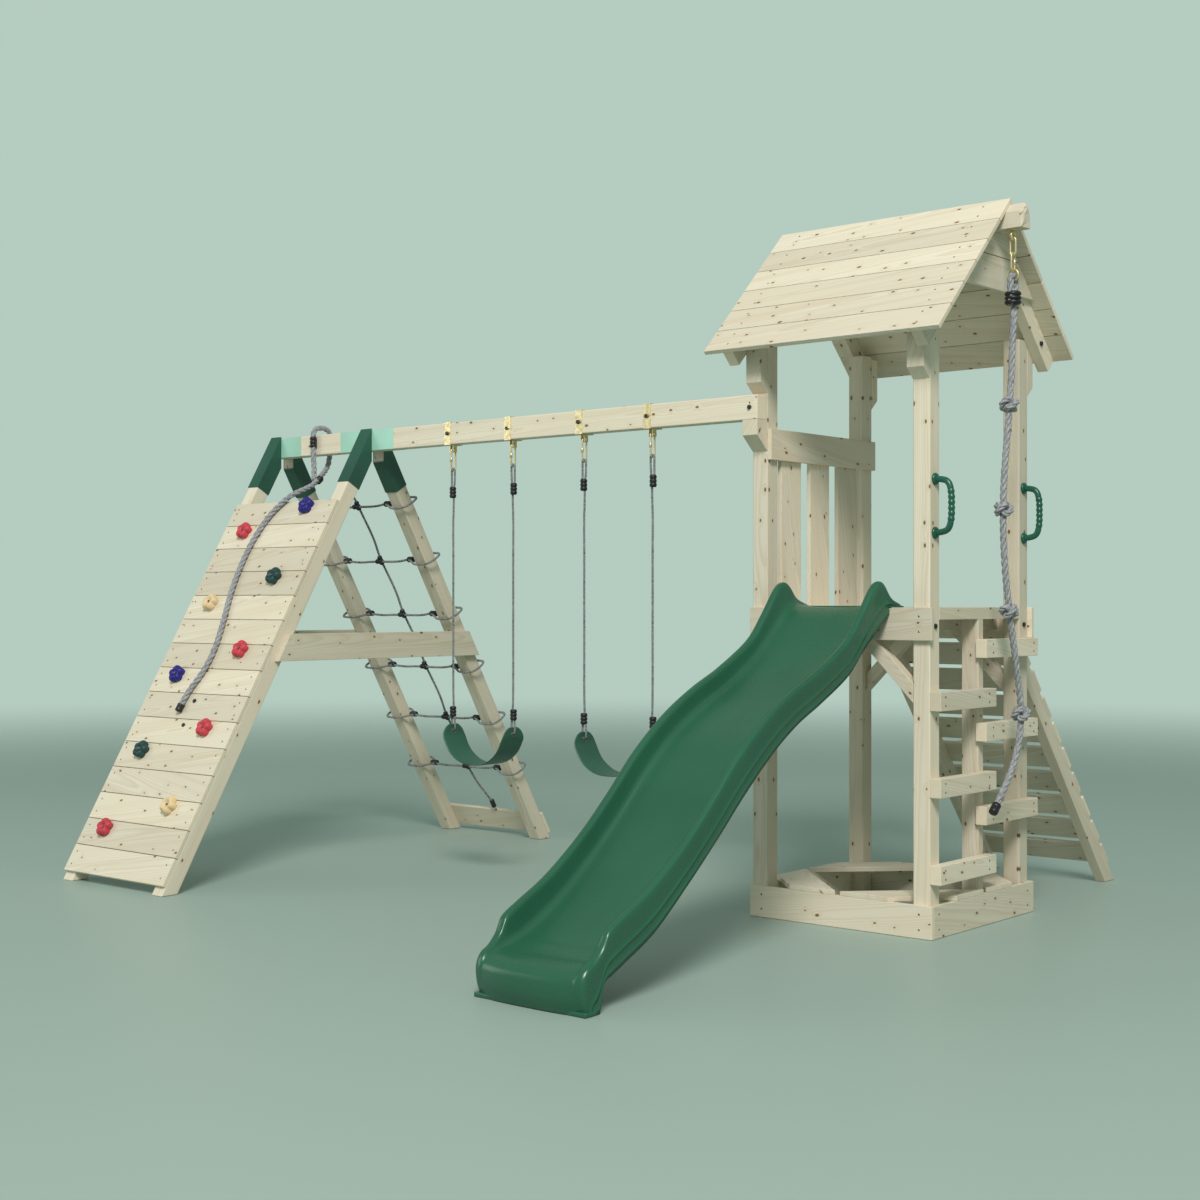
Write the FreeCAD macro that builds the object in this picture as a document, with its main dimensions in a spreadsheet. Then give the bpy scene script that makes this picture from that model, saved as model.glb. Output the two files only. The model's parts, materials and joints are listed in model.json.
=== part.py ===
# Wooden play tower with a slide, two belt swings, a climbing wall, a rope net
# and a climbing rope. All sizes are in millimetres.
# X runs along the swing beam towards the tower, Y towards the rear, Z is up.
# Places are worked out from the tower's front right bottom corner, and then
# shifted so that the origin lies under the middle of the whole set.
import math
import os
import re

import FreeCAD
import Part
import Sketcher

doc = FreeCAD.newDocument("PlayTower")
sheet = doc.addObject("Spreadsheet::Sheet", "Sizes")

# ---------------------------------------------------------------- sizes
DRIVING = {
    # timber sections
    "post": 70, "board": 18, "board_width": 120, "batten": 45, "board_gap": 3,
    # tower
    "tower_width": 800, "tower_depth": 800, "post_height": 2250,
    "deck_height": 1200, "seat_clearance": 9, "seat_inner_run": 390,
    "brace_run": 190, "head_block_height": 210, "head_block_foot": 2030,
    "ladder_post_depth": 40, "rung_height": 70, "rung_lap": 422,
    "rung_pitch": 314, "right_rung_top": 1080, "left_rung_top": 895,
    # railing
    "rail_foot": 1772, "slat_width": 138, "slat_foot": 1090,
    # roof
    "roof_half_span": 540, "roof_overhang": 123, "ridge_overhang": 67,
    "ridge_beam_width": 70, "ridge_beam_height": 95, "rafter_depth": 70,
    # swing beam and its frame
    "beam_width": 70, "beam_height": 95, "beam_foot": 1925,
    "frame_width": 720, "frame_far": 3630, "lean": 30, "frame_spread": 1205,
    "sleeve_wall": 3, "sleeve_length": 290, "plate_reach": 145,
    "cross_beam": 28, "cross_beam_foot": 960, "cross_beam_lap": 40,
    "wall_start": 40, "wall_boards": 15, "wall_pitch": 127,
    # rear climbing wall
    "rear_foot": 1770, "rear_lean": 40, "rear_wall_right": 100,
    "rear_pitch": 144, "rear_start": 100, "rear_board": 110,
    # swings
    "swing_one": 2229, "swing_two": 1455, "hanger_half": 183,
    "strap_width": 38, "strap": 3, "pivot_drop": 24, "pin_radius": 4,
    "hook_wire": 4, "hook_half": 13, "hook_height": 108,
    "seat_width": 140, "seat_belt": 5,
    # slide
    "slide_width": 450, "slide_reach": 1745, "slide_rim": 30, "slide_wall": 5,
    # ropes
    "swing_rope": 10, "net_rope": 12, "thick_rope": 26,
    # grab handles
    "handle_radius": 10, "handle_length": 232, "handle_reach": 77,
    "handle_foot": 1453,
}

DERIVED = {
    "left_post_x": "-tower_width",
    "right_post_x": "-board - post",
    "front_post_y": "board",
    "rear_post_y": "tower_depth - board - post",
    "seat_outer_run": "2 * (board + post) + seat_clearance",
    "middle_y": "tower_depth / 2",
    "middle_x": "-tower_width / 2",
    "roof_board_rise": "board / cos(45)",
    "ridge_height": "post_height + 480",
    "roof_under_ridge": "ridge_height - roof_board_rise",
    "slope_length": "roof_half_span / cos(45)",
    "roof_pitch": "slope_length / 6",
    "rafter_left_x": "-tower_width - batten",
    "roof_left_x": "-tower_width - roof_overhang",
    "roof_right_x": "roof_overhang - board",
    "beam_y": "board - beam_width / 2",
    "beam_top": "beam_foot + beam_height",
    "near_leg_x": "-frame_far + frame_width - post",
    "frame_middle_x": "-frame_far + frame_width / 2",
    "leg_foot_run": "post / cos(lean)",
    "leg_clear": "beam_width / 2 + sleeve_wall",
    "leg_outer_top": "(frame_spread - leg_clear) / tan(lean)",
    "leg_inner_top": "(frame_spread - leg_foot_run - leg_clear) / tan(lean)",
    "stringer_top": "(rear_foot - tower_depth) / tan(rear_lean)",
    "stringer_run": "post / cos(rear_lean)",
    "stringer_inner_top": "(rear_foot - stringer_run - tower_depth) / tan(rear_lean)",
    "pivot_z": "beam_foot - pivot_drop",
    "fascia_foot": "deck_height - board_width",
    "shift_x": "(frame_far + cross_beam - roof_right_x - ridge_overhang) / 2",
    "shift_y": "(slide_reach - rear_foot) / 2",
}

MATHS = {"cos", "sin", "tan"}


def tied(text):
    """An expression in bare size names, written for the document."""
    def name(match):
        word = match.group()
        return word if word in MATHS else "Sizes." + word
    return re.sub(r"[a-z][a-z_0-9]*", name, str(text))


def fill_sheet():
    row = 1
    for name, value in DRIVING.items():
        sheet.set(f"A{row}", name)
        sheet.set(f"B{row}", str(value))
        sheet.setAlias(f"B{row}", name)
        row += 1
    for name in DERIVED:
        sheet.setAlias(f"B{row}", name)
        sheet.set(f"A{row}", name)
        row += 1
    row -= len(DERIVED)
    for name, text in DERIVED.items():
        sheet.set(f"B{row}", "=" + text)
        row += 1
    doc.recompute()


fill_sheet()


def size(text):
    """The value of an expression in size names."""
    return float(sheet.evalExpression(tied(text).replace("Sizes.", "")))


# ---------------------------------------------------------------- helpers
nodes = {}
X_AXIS = FreeCAD.Vector(1, 0, 0)
Y_AXIS = FreeCAD.Vector(0, 1, 0)
Z_AXIS = FreeCAD.Vector(0, 0, 1)


def bind(obj, prop, text):
    obj.setExpression(prop, tied(text))


def place(obj, x, y, z, axis=None, angle=None):
    """Puts an object at a point given from the tower's corner."""
    if axis is not None:
        obj.Placement = FreeCAD.Placement(FreeCAD.Vector(), FreeCAD.Rotation(axis, 30))
        bind(obj, "Placement.Rotation.Angle", angle)
    bind(obj, "Placement.Base.x", f"shift_x + ({x})")
    bind(obj, "Placement.Base.y", f"shift_y + ({y})")
    bind(obj, "Placement.Base.z", z)
    return obj


def timber(length, width, height, x, y, z, axis=None, angle=None):
    """A sawn piece: length along X, width along Y and height along Z."""
    box = doc.addObject("Part::Box", "timber")
    bind(box, "Length", length)
    bind(box, "Width", width)
    bind(box, "Height", height)
    return place(box, x, y, z, axis, angle)


def rod(radius, height, x, y, z, axis=None, angle=None):
    cylinder = doc.addObject("Part::Cylinder", "rod")
    bind(cylinder, "Radius", radius)
    bind(cylinder, "Height", height)
    return place(cylinder, x, y, z, axis, angle)


def origin_plane(body, role):
    for feature in body.Origin.OriginFeatures:
        if feature.Role == role:
            return feature
    raise ValueError(role)


def outline(body, plane, points):
    """A closed sketch whose corners are tied to the sheet."""
    sketch = body.newObject("Sketcher::SketchObject", "outline")
    sketch.AttachmentSupport = [(origin_plane(body, plane), "")]
    sketch.MapMode = "FlatFace"
    places = [FreeCAD.Vector(size(x), size(y), 0) for x, y in points]
    count = len(points)
    for i in range(count):
        sketch.addGeometry(Part.LineSegment(places[i], places[(i + 1) % count]), False)
    for i in range(count):
        sketch.addConstraint(Sketcher.Constraint("Coincident", i, 2, (i + 1) % count, 1))
    for i, (x, y) in enumerate(points):
        for kind, text in (("DistanceX", x), ("DistanceY", y)):
            index = sketch.addConstraint(
                Sketcher.Constraint(kind, -1, 1, i, 1, size(text)))
            sketch.setExpression(f"Constraints[{index}]", tied(text))
    return sketch


def prism(points, depth, x, y, z, plane="XY_Plane", chamfer=None, axis=None, angle=None):
    """A body padded from an outline; on YZ_Plane the outline is (Y, Z)."""
    body = doc.addObject("PartDesign::Body", "prism")
    sketch = outline(body, plane, points)
    pad = body.newObject("PartDesign::Pad", "pad")
    pad.Profile = sketch
    bind(pad, "Length", depth)
    body.Tip = pad
    doc.recompute()
    if chamfer:
        long_edges = [
            f"Edge{i + 1}" for i, edge in enumerate(pad.Shape.Edges)
            if abs(edge.tangentAt(edge.FirstParameter).z) > 0.99
        ]
        cut = body.newObject("PartDesign::Chamfer", "chamfer")
        cut.Base = (pad, long_edges)
        cut.Size = chamfer
        body.Tip = cut
    return place(body, x, y, z, axis, angle)


def group(members):
    compound = doc.addObject("Part::Compound", "group")
    compound.Links = members
    return compound


def made(shape):
    """A piece whose form is worked out in code."""
    feature = doc.addObject("Part::Feature", "piece")
    feature.Shape = shape
    return feature


def node(name, obj):
    obj.Label = name
    nodes[name] = obj


SHIFT = FreeCAD.Vector(size("shift_x"), size("shift_y"), 0)


def at(x, y, z):
    """A point from the tower's corner as a point of the document."""
    return FreeCAD.Vector(x, y, z) + SHIFT


def rope_solid(points, diameter):
    """A round rope: straight runs joined by tangent arcs."""
    runs = [(b - a).Length for a, b in zip(points, points[1:])]
    edges = []
    radii = []
    start = points[0]
    for i in range(1, len(points) - 1):
        into = (points[i] - points[i - 1]).normalize()
        out = (points[i + 1] - points[i]).normalize()
        turn = into.getAngle(out)
        reach = 0.45 * min(runs[i - 1], runs[i])
        radius = reach / math.tan(turn / 2)
        radii.append(radius)
        first = points[i] - into * reach
        last = points[i] + out * reach
        inward = (out - into).normalize()
        centre = points[i] + inward * (radius / math.cos(turn / 2))
        middle = centre - inward * radius
        edges.append(Part.makeLine(start, first))
        edges.append(Part.Arc(first, middle, last).toShape())
        start = last
    edges.append(Part.makeLine(start, points[-1]))
    spine = Part.Wire(edges)
    facing = (points[1] - points[0]).normalize()
    ring = Part.Wire([Part.makeCircle(diameter / 2, points[0], facing)])
    solid = spine.makePipeShell([ring], True, False)
    print(f"round run {diameter:g} mm thick, {spine.Length:.0f} mm long, "
          f"tightest bend {min(radii):.1f} mm")
    return solid


def ring_solid(centre, axis, radius, wire):
    return Part.makeTorus(radius, wire, centre, axis)


def link_solid(top, side, half, height, wire):
    """A closed oval link hanging from its top, flat in Z and the side axis."""
    straight = height - 2 * half
    upper = top - Z_AXIS * half
    lower = upper - Z_AXIS * straight
    corners = [upper - side * half, upper + side * half,
               lower + side * half, lower - side * half]
    arch = Part.Arc(corners[0], top, corners[1]).toShape()
    bow = Part.Arc(corners[2], lower - Z_AXIS * half, corners[3]).toShape()
    spine = Part.Wire([arch, Part.makeLine(corners[1], corners[2]), bow,
                       Part.makeLine(corners[3], corners[0])])
    section = Part.Wire([Part.makeCircle(wire, upper - side * half, Z_AXIS)])
    return spine.makePipeShell([section], True, False)


def clamp_solid(centre, along, radius, length):
    """A moulded clamp: three thick rings on a sleeve."""
    start = centre - along * (length / 2)
    solid = Part.makeCylinder(radius * 0.8, length, start, along)
    for k in range(3):
        band = start + along * (length * (0.06 + 0.31 * k))
        solid = solid.fuse(Part.makeCylinder(radius, length * 0.26, band, along))
    return solid


# ---------------------------------------------------------------- tower
POST_SQUARE = [("0", "0"), ("post", "0"), ("post", "post"), ("0", "post")]
for side, x in (("left", "left_post_x"), ("right", "right_post_x")):
    for face, y in (("front", "front_post_y"), ("rear", "rear_post_y")):
        node(f"post_{face}_{side}",
             prism(POST_SQUARE, "post_height", x, y, "0", chamfer=3))

node("sandbox_boards", group([
    timber("tower_width", "board", "board_width", "-tower_width", "0", "0"),
    timber("tower_width", "board", "board_width", "-tower_width", "tower_depth - board", "0"),
    timber("board", "tower_depth - 2 * board", "board_width", "-board", "board", "0"),
    timber("board", "rear_post_y - board - post", "board_width",
           "-tower_width", "board + post", "0"),
]))

# A corner seat is one board laid across a corner, its ends cut in line
# with the sides of the sandbox.
SEAT = [("seat_outer_run", "0"), ("seat_inner_run", "0"),
        ("0", "seat_inner_run"), ("0", "seat_outer_run")]
node("sandbox_seats", group([
    prism(SEAT, "board", x, y, "board_width", axis=Z_AXIS, angle=turn)
    for x, y, turn in (("-tower_width", "0", "0"), ("0", "0", "90"),
                       ("0", "tower_depth", "180"), ("-tower_width", "tower_depth", "270"))
]))

PLATFORM = [
    timber("tower_width", "board", "board_width", "-tower_width", y, "fascia_foot")
    for y in ("0", "tower_depth - board")
]
PLATFORM += [
    timber("batten", "rear_post_y - board - post", "batten", x, "board + post",
           "deck_height - batten")
    for x in ("-board - batten", "-tower_width + post - board - batten")
]
PLATFORM += [
    timber("batten", "tower_depth - 2 * board", "post", x, "board",
           "deck_height - board - post")
    for x in ("-tower_width + post + 60", "middle_x - batten / 2",
              "-board - post - batten - 60")
]
node("platform_frame", group(PLATFORM))

DECK_BOARDS = 5
DECK_ROOM = "(rear_post_y - board - post)"
node("deck_boards", group([
    timber("tower_width - board - batten - post", f"{DECK_ROOM} / {DECK_BOARDS} - board_gap",
           "board", "-tower_width + post",
           f"board + post + board_gap / 2 + {k} * {DECK_ROOM} / {DECK_BOARDS}",
           "deck_height - board")
    for k in range(DECK_BOARDS)
]))

LADDER_POST = [("0", "0"), ("post", "0"), ("post", "ladder_post_depth"),
               ("0", "ladder_post_depth")]
node("ladder_post", prism(LADDER_POST, "deck_height - batten", "right_post_x",
                          "middle_y - ladder_post_depth / 2", "0", chamfer=2))

RUNGS = [
    timber("batten", "rung_lap", "rung_height", "-board", "board",
           f"left_rung_top - rung_height - {k} * rung_pitch")
    for k in range(3)
]
RUNGS += [
    timber("batten", "rung_lap", "rung_height", "-board", "tower_depth - board - rung_lap",
           f"right_rung_top - rung_height - {k} * rung_pitch")
    for k in range(3)
]
# The two sides overlap on the ladder post, so the heights keep them apart.
node("ladder_rungs", group(RUNGS))

BRACE = [("0", "0"), ("0", "-post"), ("brace_run + post", "brace_run"),
         ("brace_run", "brace_run")]
BRACE_Z = "fascia_foot + board_width - board - post - brace_run"
node("knee_braces", group([
    prism(BRACE, "batten", x, y, BRACE_Z, plane="XZ_Plane", axis=Z_AXIS, angle=turn)
    for x, y, turn in (
        ("-tower_width + post", "board + batten", "0"),
        ("-tower_width + post", "tower_depth - board", "0"),
        ("right_post_x", "board", "180"),
        ("right_post_x", "tower_depth - board - batten", "180"))
]))

RAILING = [timber("board", "tower_depth - 2 * board", "board_width",
                  "-tower_width + post", "board", "rail_foot")]
RAILING += [
    timber("board", "slat_width", "rail_foot + board_width - 10 - slat_foot",
           "-tower_width + post - board",
           f"middle_y - 14 - slat_width / 2 + {k} * (slat_width + 66)", "slat_foot")
    for k in (-1, 0, 1)
]
node("railing", group(RAILING))


def roof_boards(side):
    """Six boards on one slope; the front's top board covers the rear's edge."""
    boards = []
    for k in range(6):
        start = f"({k} * roof_pitch + board_gap)"
        if side == "front":
            y = (f"middle_y - roof_half_span + {start} * cos(45) + board * sin(45)")
            z = (f"ridge_height - roof_half_span + {start} * sin(45) - board * cos(45)")
            boards.append(timber("roof_right_x - roof_left_x", "roof_pitch - board_gap",
                                 "board", "roof_left_x", y, z, X_AXIS, "45"))
        else:
            y = (f"middle_y + roof_half_span - {start} * cos(45) - board * sin(45)")
            z = (f"ridge_height - roof_half_span + {start} * sin(45) - board * cos(45)")
            depth = "roof_pitch - board_gap" + (" - board" if k == 5 else "")
            boards.append(timber("roof_right_x - roof_left_x", "board", depth,
                                 "roof_left_x", y, z, X_AXIS, "45"))
    return boards


for side in ("front", "rear"):
    node(f"roof_boards_{side}", group(roof_boards(side)))

# A rafter runs from the ridge beam down a slope, on the outside of the posts.
RAFTER = [
    ("ridge_beam_width / 2", "-ridge_beam_width / 2"),
    ("roof_half_span - 20", "-roof_half_span + 20"),
    ("roof_half_span - 20 - rafter_depth * sin(45)",
     "-roof_half_span + 20 - rafter_depth * cos(45)"),
    ("ridge_beam_width / 2", "-ridge_beam_width / 2 - rafter_depth / cos(45)"),
]
node("rafters", group([
    prism(RAFTER, "batten", x, "middle_y", "roof_under_ridge", plane="YZ_Plane",
          axis=Z_AXIS, angle=turn)
    for x, turn in (("-board", "0"), ("-board + batten", "180"),
                    ("rafter_left_x", "0"), ("rafter_left_x + batten", "180"))
]))


def gable_board(k, x):
    """One board of a gable, cut to the roof's slopes and round the ridge beam."""
    low = f"(310 - {k} * (board_width + 8))"
    high = f"(310 - {k} * (board_width + 8) - board_width - 5)"
    points = [(f"-{low}", f"-{low}"), (low, f"-{low}"), (high, f"-{high}")]
    if k:
        slot = "(ridge_beam_width / 2 + 0.3)"
        points += [(slot, f"-{high}"), (slot, "-ridge_beam_height - 0.3"),
                   (f"-{slot}", "-ridge_beam_height - 0.3"), (f"-{slot}", f"-{high}")]
    points.append((f"-{high}", f"-{high}"))
    return prism(points, "board", x, "middle_y", "roof_under_ridge", plane="YZ_Plane")


node("gable_boards", group([
    gable_board(k, x) for x in ("-board + batten", "rafter_left_x - board") for k in (0, 1)
]))

RIDGE = [
    ("-ridge_beam_width / 2", "-ridge_beam_width / 2"), ("0", "0"),
    ("ridge_beam_width / 2", "-ridge_beam_width / 2"),
    ("ridge_beam_width / 2", "-ridge_beam_height"),
    ("-ridge_beam_width / 2", "-ridge_beam_height"),
]
node("ridge_beam", prism(RIDGE, "roof_right_x + ridge_overhang - rafter_left_x + board + 20",
                         "rafter_left_x - board - 20", "middle_y",
                         "roof_under_ridge", plane="YZ_Plane"))

# Blocks on the faces of the post heads; the foot of each has a long chamfer.
HEAD_BLOCK = [("0", "40"), ("batten", "0"), ("batten", "head_block_height"),
              ("0", "head_block_height")]
BEAM_BLOCK = [("0", "60"), ("beam_width", "0"), ("beam_width", "120"), ("0", "120")]
BLOCKS = [
    prism(HEAD_BLOCK, "post", x, "board - batten", "head_block_foot", plane="YZ_Plane")
    for x in ("left_post_x", "right_post_x")
]
BLOCKS += [
    prism(HEAD_BLOCK, "post", x, "rear_post_y + post + batten", "head_block_foot",
          plane="YZ_Plane", axis=Z_AXIS, angle="180")
    for x in ("left_post_x + post", "right_post_x + post")
]
BLOCKS.append(prism(BEAM_BLOCK, "post", "left_post_x", "board - beam_width",
                    "beam_foot - 120", plane="YZ_Plane"))
node("head_blocks", group(BLOCKS))


def handle(y):
    """A moulded bow with two round feet, on the outer face of a post."""
    face = -size("board")
    radius = size("handle_radius")
    out = face + size("handle_reach") - radius
    low = size("handle_foot") + 18
    high = low + size("handle_length") - 36
    bow = rope_solid([at(face + 1, y, low), at(out - 14, y, low + 2), at(out, y, low + 34),
                      at(out, y, high - 34), at(out - 14, y, high - 2),
                      at(face + 1, y, high)], 2 * radius)
    for z in (low, high):
        bow = bow.fuse(Part.makeCylinder(radius + 8, 8, at(face, y, z), X_AXIS))
    return bow


node("grab_handles", group([
    made(handle(size("front_post_y + post / 2"))),
    made(handle(size("rear_post_y + post / 2"))),
]))


# ---------------------------------------------------------------- slide
def curve(points):
    line = Part.BSplineCurve()
    line.interpolate([FreeCAD.Vector(0, y, z) for y, z in points])
    return line.toShape()


def slide():
    """A wave slide: side walls, a raised rim on each and a sunken bed."""
    deck = size("deck_height")
    width = size("slide_width")
    rim = size("slide_rim")
    wall = size("slide_wall")
    rise = deck / 1200.0
    run = size("slide_reach") / 1745.0
    rim_points = [(85, 1212), (20, 1236), (-30, 1284), (-62, 1293), (-105, 1266),
                  (-190, 1166), (-280, 1078), (-456, 984), (-620, 914), (-780, 828),
                  (-940, 711), (-1085, 575), (-1225, 455), (-1390, 342), (-1530, 274),
                  (-1592, 240), (-1636, 190), (-1690, 158), (-1732, 128), (-1745, 92),
                  (-1738, 46), (-1722, 0)]
    low_points = [(-4, 1165), (-126, 1083), (-280, 955), (-450, 868), (-600, 800),
                  (-740, 715), (-900, 592), (-1067, 448), (-1225, 320), (-1380, 205),
                  (-1521, 135), (-1632, 84)]
    bed_points = [(60, 1206), (-20, 1206), (-90, 1172), (-180, 1090), (-290, 1003),
                  (-450, 912), (-610, 840), (-770, 752), (-920, 634), (-1070, 494),
                  (-1220, 369), (-1370, 262), (-1510, 186), (-1620, 146), (-1700, 134),
                  (-1760, 126)]
    scaled = [[(y * run, z * rise) for y, z in line]
              for line in (rim_points, low_points, bed_points)]
    rim_points, low_points, bed_points = scaled

    def flat(points):
        return [FreeCAD.Vector(0, y, z) for y, z in points]

    joint = flat([low_points[-1], (-1664, 0), rim_points[-1]])
    head = flat([rim_points[0], (85, deck + 0.3), (-4, deck + 0.3), low_points[0]])
    side = Part.Face(Part.Wire([
        curve(rim_points),
        *[Part.makeLine(a, b) for a, b in zip(joint[::-1], joint[::-1][1:])],
        curve(low_points[::-1]),
        *[Part.makeLine(a, b) for a, b in zip(head[::-1], head[::-1][1:])],
    ]))
    solid = side.extrude(FreeCAD.Vector(width, 0, 0))
    above = flat([bed_points[-1], (-1760, 1400), (120, 1400), (120, 1206 * rise),
                  bed_points[0]])
    channel = Part.Face(Part.Wire([
        curve(bed_points),
        *[Part.makeLine(a, b) for a, b in zip(above, above[1:])],
    ])).extrude(FreeCAD.Vector(width - 2 * rim, 0, 0))
    channel.translate(FreeCAD.Vector(rim, 0, 0))
    under_points = [(y - wall * 0.6, z - wall) for y, z in bed_points[1:13]]
    below = flat([under_points[-1], (-1540, 20), (-1400, -60), (40, -60),
                  (40, 1165 * rise), under_points[0]])
    hollow = Part.Face(Part.Wire([
        curve(under_points),
        *[Part.makeLine(a, b) for a, b in zip(below, below[1:])],
    ])).extrude(FreeCAD.Vector(width - 2 * wall, 0, 0))
    hollow.translate(FreeCAD.Vector(wall, 0, 0))
    solid = solid.cut(channel).cut(hollow)
    plate = Part.makeBox(width + 20, 89, 6, FreeCAD.Vector(-10, -4, deck))
    foot = Part.makeBox(width + 40, 66, 14, FreeCAD.Vector(-20, -1724, 0))
    solid = solid.fuse(plate).fuse(foot).removeSplitter()
    solid.translate(FreeCAD.Vector(size("middle_x") - width / 2, 0, 0) + SHIFT)
    return solid


node("slide", made(slide()))

# ---------------------------------------------------------------- rear wall
STRINGER = [("0", "0"), ("0 - stringer_run", "0"),
            ("tower_depth - rear_foot", "stringer_inner_top"),
            ("tower_depth - rear_foot", "stringer_top")]
REAR_LEFT = "-tower_width + rear_wall_right"
node("rear_wall_stringers", group([
    prism(STRINGER, "batten", x, "rear_foot", "0", plane="YZ_Plane")
    for x in (REAR_LEFT, "-rear_wall_right - batten")
]))


def on_slope(distance, foot, lean, sign, lift="0"):
    """Y and Z of a point up a leaning face, lifted off it."""
    y = f"{foot} - {sign} * ({distance}) * sin({lean}) + {sign} * ({lift}) * cos({lean})"
    z = f"({distance}) * cos({lean}) + ({lift}) * sin({lean})"
    return y, z


REAR_BOARDS = []
for k in range(10):
    y, z = on_slope(f"rear_start + {k} * rear_pitch", "rear_foot", "rear_lean", 1, "board")
    REAR_BOARDS.append(timber("tower_width - 2 * rear_wall_right", "rear_board", "board",
                              REAR_LEFT, y, z, X_AXIS, "90 + rear_lean"))
node("rear_wall_boards", group(REAR_BOARDS))

# ---------------------------------------------------------------- swing beam
node("swing_beam", timber("frame_far - tower_width + post", "beam_width", "beam_height",
                          "-frame_far", "beam_y - beam_width / 2", "beam_foot"))

LEG = [("frame_spread", "0"), ("frame_spread - leg_foot_run", "0"),
       ("leg_clear", "leg_inner_top"), ("leg_clear", "leg_outer_top")]
for place_name, x in (("near", "near_leg_x"), ("far", "-frame_far")):
    node(f"leg_rear_{place_name}", prism(LEG, "post", x, "beam_y", "0", plane="YZ_Plane"))
    node(f"leg_front_{place_name}", prism(LEG, "post", f"{x} + post", "beam_y", "0",
                                          plane="YZ_Plane", axis=Z_AXIS, angle="180"))

# A sleeve goes all the way round a leg: a back, two sides and a cover plate.
WALL_OUT = "sleeve_wall"
OUT_TOP = "(leg_outer_top + sleeve_wall / sin(lean))"
SLEEVE_BACK = [
    ("leg_clear", "leg_outer_top"), ("leg_clear", OUT_TOP),
    ("leg_clear + sleeve_length * sin(lean)", f"{OUT_TOP} - sleeve_length * cos(lean)"),
    ("leg_clear + sleeve_length * sin(lean) - sleeve_wall * cos(lean)",
     f"{OUT_TOP} - sleeve_length * cos(lean) - sleeve_wall * sin(lean)"),
]
SLEEVE_DEEP = "(post + sleeve_wall)"
SLEEVE_SIDE = [
    ("leg_clear", "leg_inner_top"), ("leg_clear", OUT_TOP),
    ("leg_clear + sleeve_length * sin(lean)", f"{OUT_TOP} - sleeve_length * cos(lean)"),
    (f"leg_clear + sleeve_length * sin(lean) - {SLEEVE_DEEP} * cos(lean)",
     f"{OUT_TOP} - sleeve_length * cos(lean) - {SLEEVE_DEEP} * sin(lean)"),
]

SLEEVE_COVER = [
    ("leg_clear", "leg_inner_top"), ("leg_clear", "leg_inner_top - sleeve_wall / sin(lean)"),
    (f"leg_clear + sleeve_length * sin(lean) - ({SLEEVE_DEEP} + sleeve_wall) * cos(lean)",
     f"{OUT_TOP} - sleeve_length * cos(lean) - ({SLEEVE_DEEP} + sleeve_wall) * sin(lean)"),
    (f"leg_clear + sleeve_length * sin(lean) - {SLEEVE_DEEP} * cos(lean)",
     f"{OUT_TOP} - sleeve_length * cos(lean) - {SLEEVE_DEEP} * sin(lean)"),
]


def sleeve(x, turn):
    """The four walls of a sleeve; x is the leg's lower side."""
    start = x if turn == "0" else f"{x} + post"
    step = "-" if turn == "0" else "+"
    back = "+" if turn == "0" else "-"
    return [
        prism(SLEEVE_BACK, "post", start, "beam_y", "0", plane="YZ_Plane",
              axis=Z_AXIS, angle=turn),
        prism(SLEEVE_SIDE, "sleeve_wall", f"{start} {step} sleeve_wall", "beam_y", "0",
              plane="YZ_Plane", axis=Z_AXIS, angle=turn),
        prism(SLEEVE_SIDE, "sleeve_wall", f"{start} {back} post", "beam_y", "0",
              plane="YZ_Plane", axis=Z_AXIS, angle=turn),
        prism(SLEEVE_COVER, "post + 2 * sleeve_wall", f"{start} {step} sleeve_wall",
              "beam_y", "0", plane="YZ_Plane", axis=Z_AXIS, angle=turn),
    ]


def beam_plates(left, length):
    return [
        timber(length, "sleeve_wall", "beam_height", left, y, "beam_foot")
        for y in ("beam_y - beam_width / 2 - sleeve_wall", "beam_y + beam_width / 2")
    ]


node("apex_bracket_near", group(
    sleeve("near_leg_x", "0") + sleeve("near_leg_x", "180")
    + beam_plates("near_leg_x - plate_reach", "post + 2 * plate_reach")))
node("apex_bracket_far", group(
    sleeve("-frame_far", "0") + sleeve("-frame_far", "180")
    + beam_plates("-frame_far", "post + plate_reach")))


def edge_y(height, inset):
    return f"(frame_spread - ({height}) * tan(lean) - ({inset}))"


CROSS_TOP = "cross_beam_foot + board_width"
CROSS = [
    (f"-{edge_y('cross_beam_foot', 'cross_beam_lap')}", "cross_beam_foot"),
    (edge_y("cross_beam_foot", "0"), "cross_beam_foot"),
    (edge_y(CROSS_TOP, "0"), CROSS_TOP),
    (f"-{edge_y(CROSS_TOP, 'cross_beam_lap')}", CROSS_TOP),
]
node("cross_beams", group([
    prism(CROSS, "cross_beam", x, "beam_y", "0", plane="YZ_Plane")
    for x in ("near_leg_x + post", "-frame_far - cross_beam")
]))

RAIL_Y, RAIL_Z = on_slope("30", "beam_y + frame_spread", "lean", 1, "board")
node("foot_rail", timber("frame_width", "board_width", "board", "-frame_far",
                         RAIL_Y, RAIL_Z, X_AXIS, "90 + lean"))

WALL = []
for k in range(15):
    y, z = on_slope(f"wall_start + {k} * wall_pitch", "beam_y - frame_spread", "lean", -1)
    WALL.append(timber("frame_width", "wall_pitch - board_gap", "board", "-frame_far",
                       y, z, X_AXIS, "90 - lean"))
node("wall_boards", group(WALL))


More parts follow.
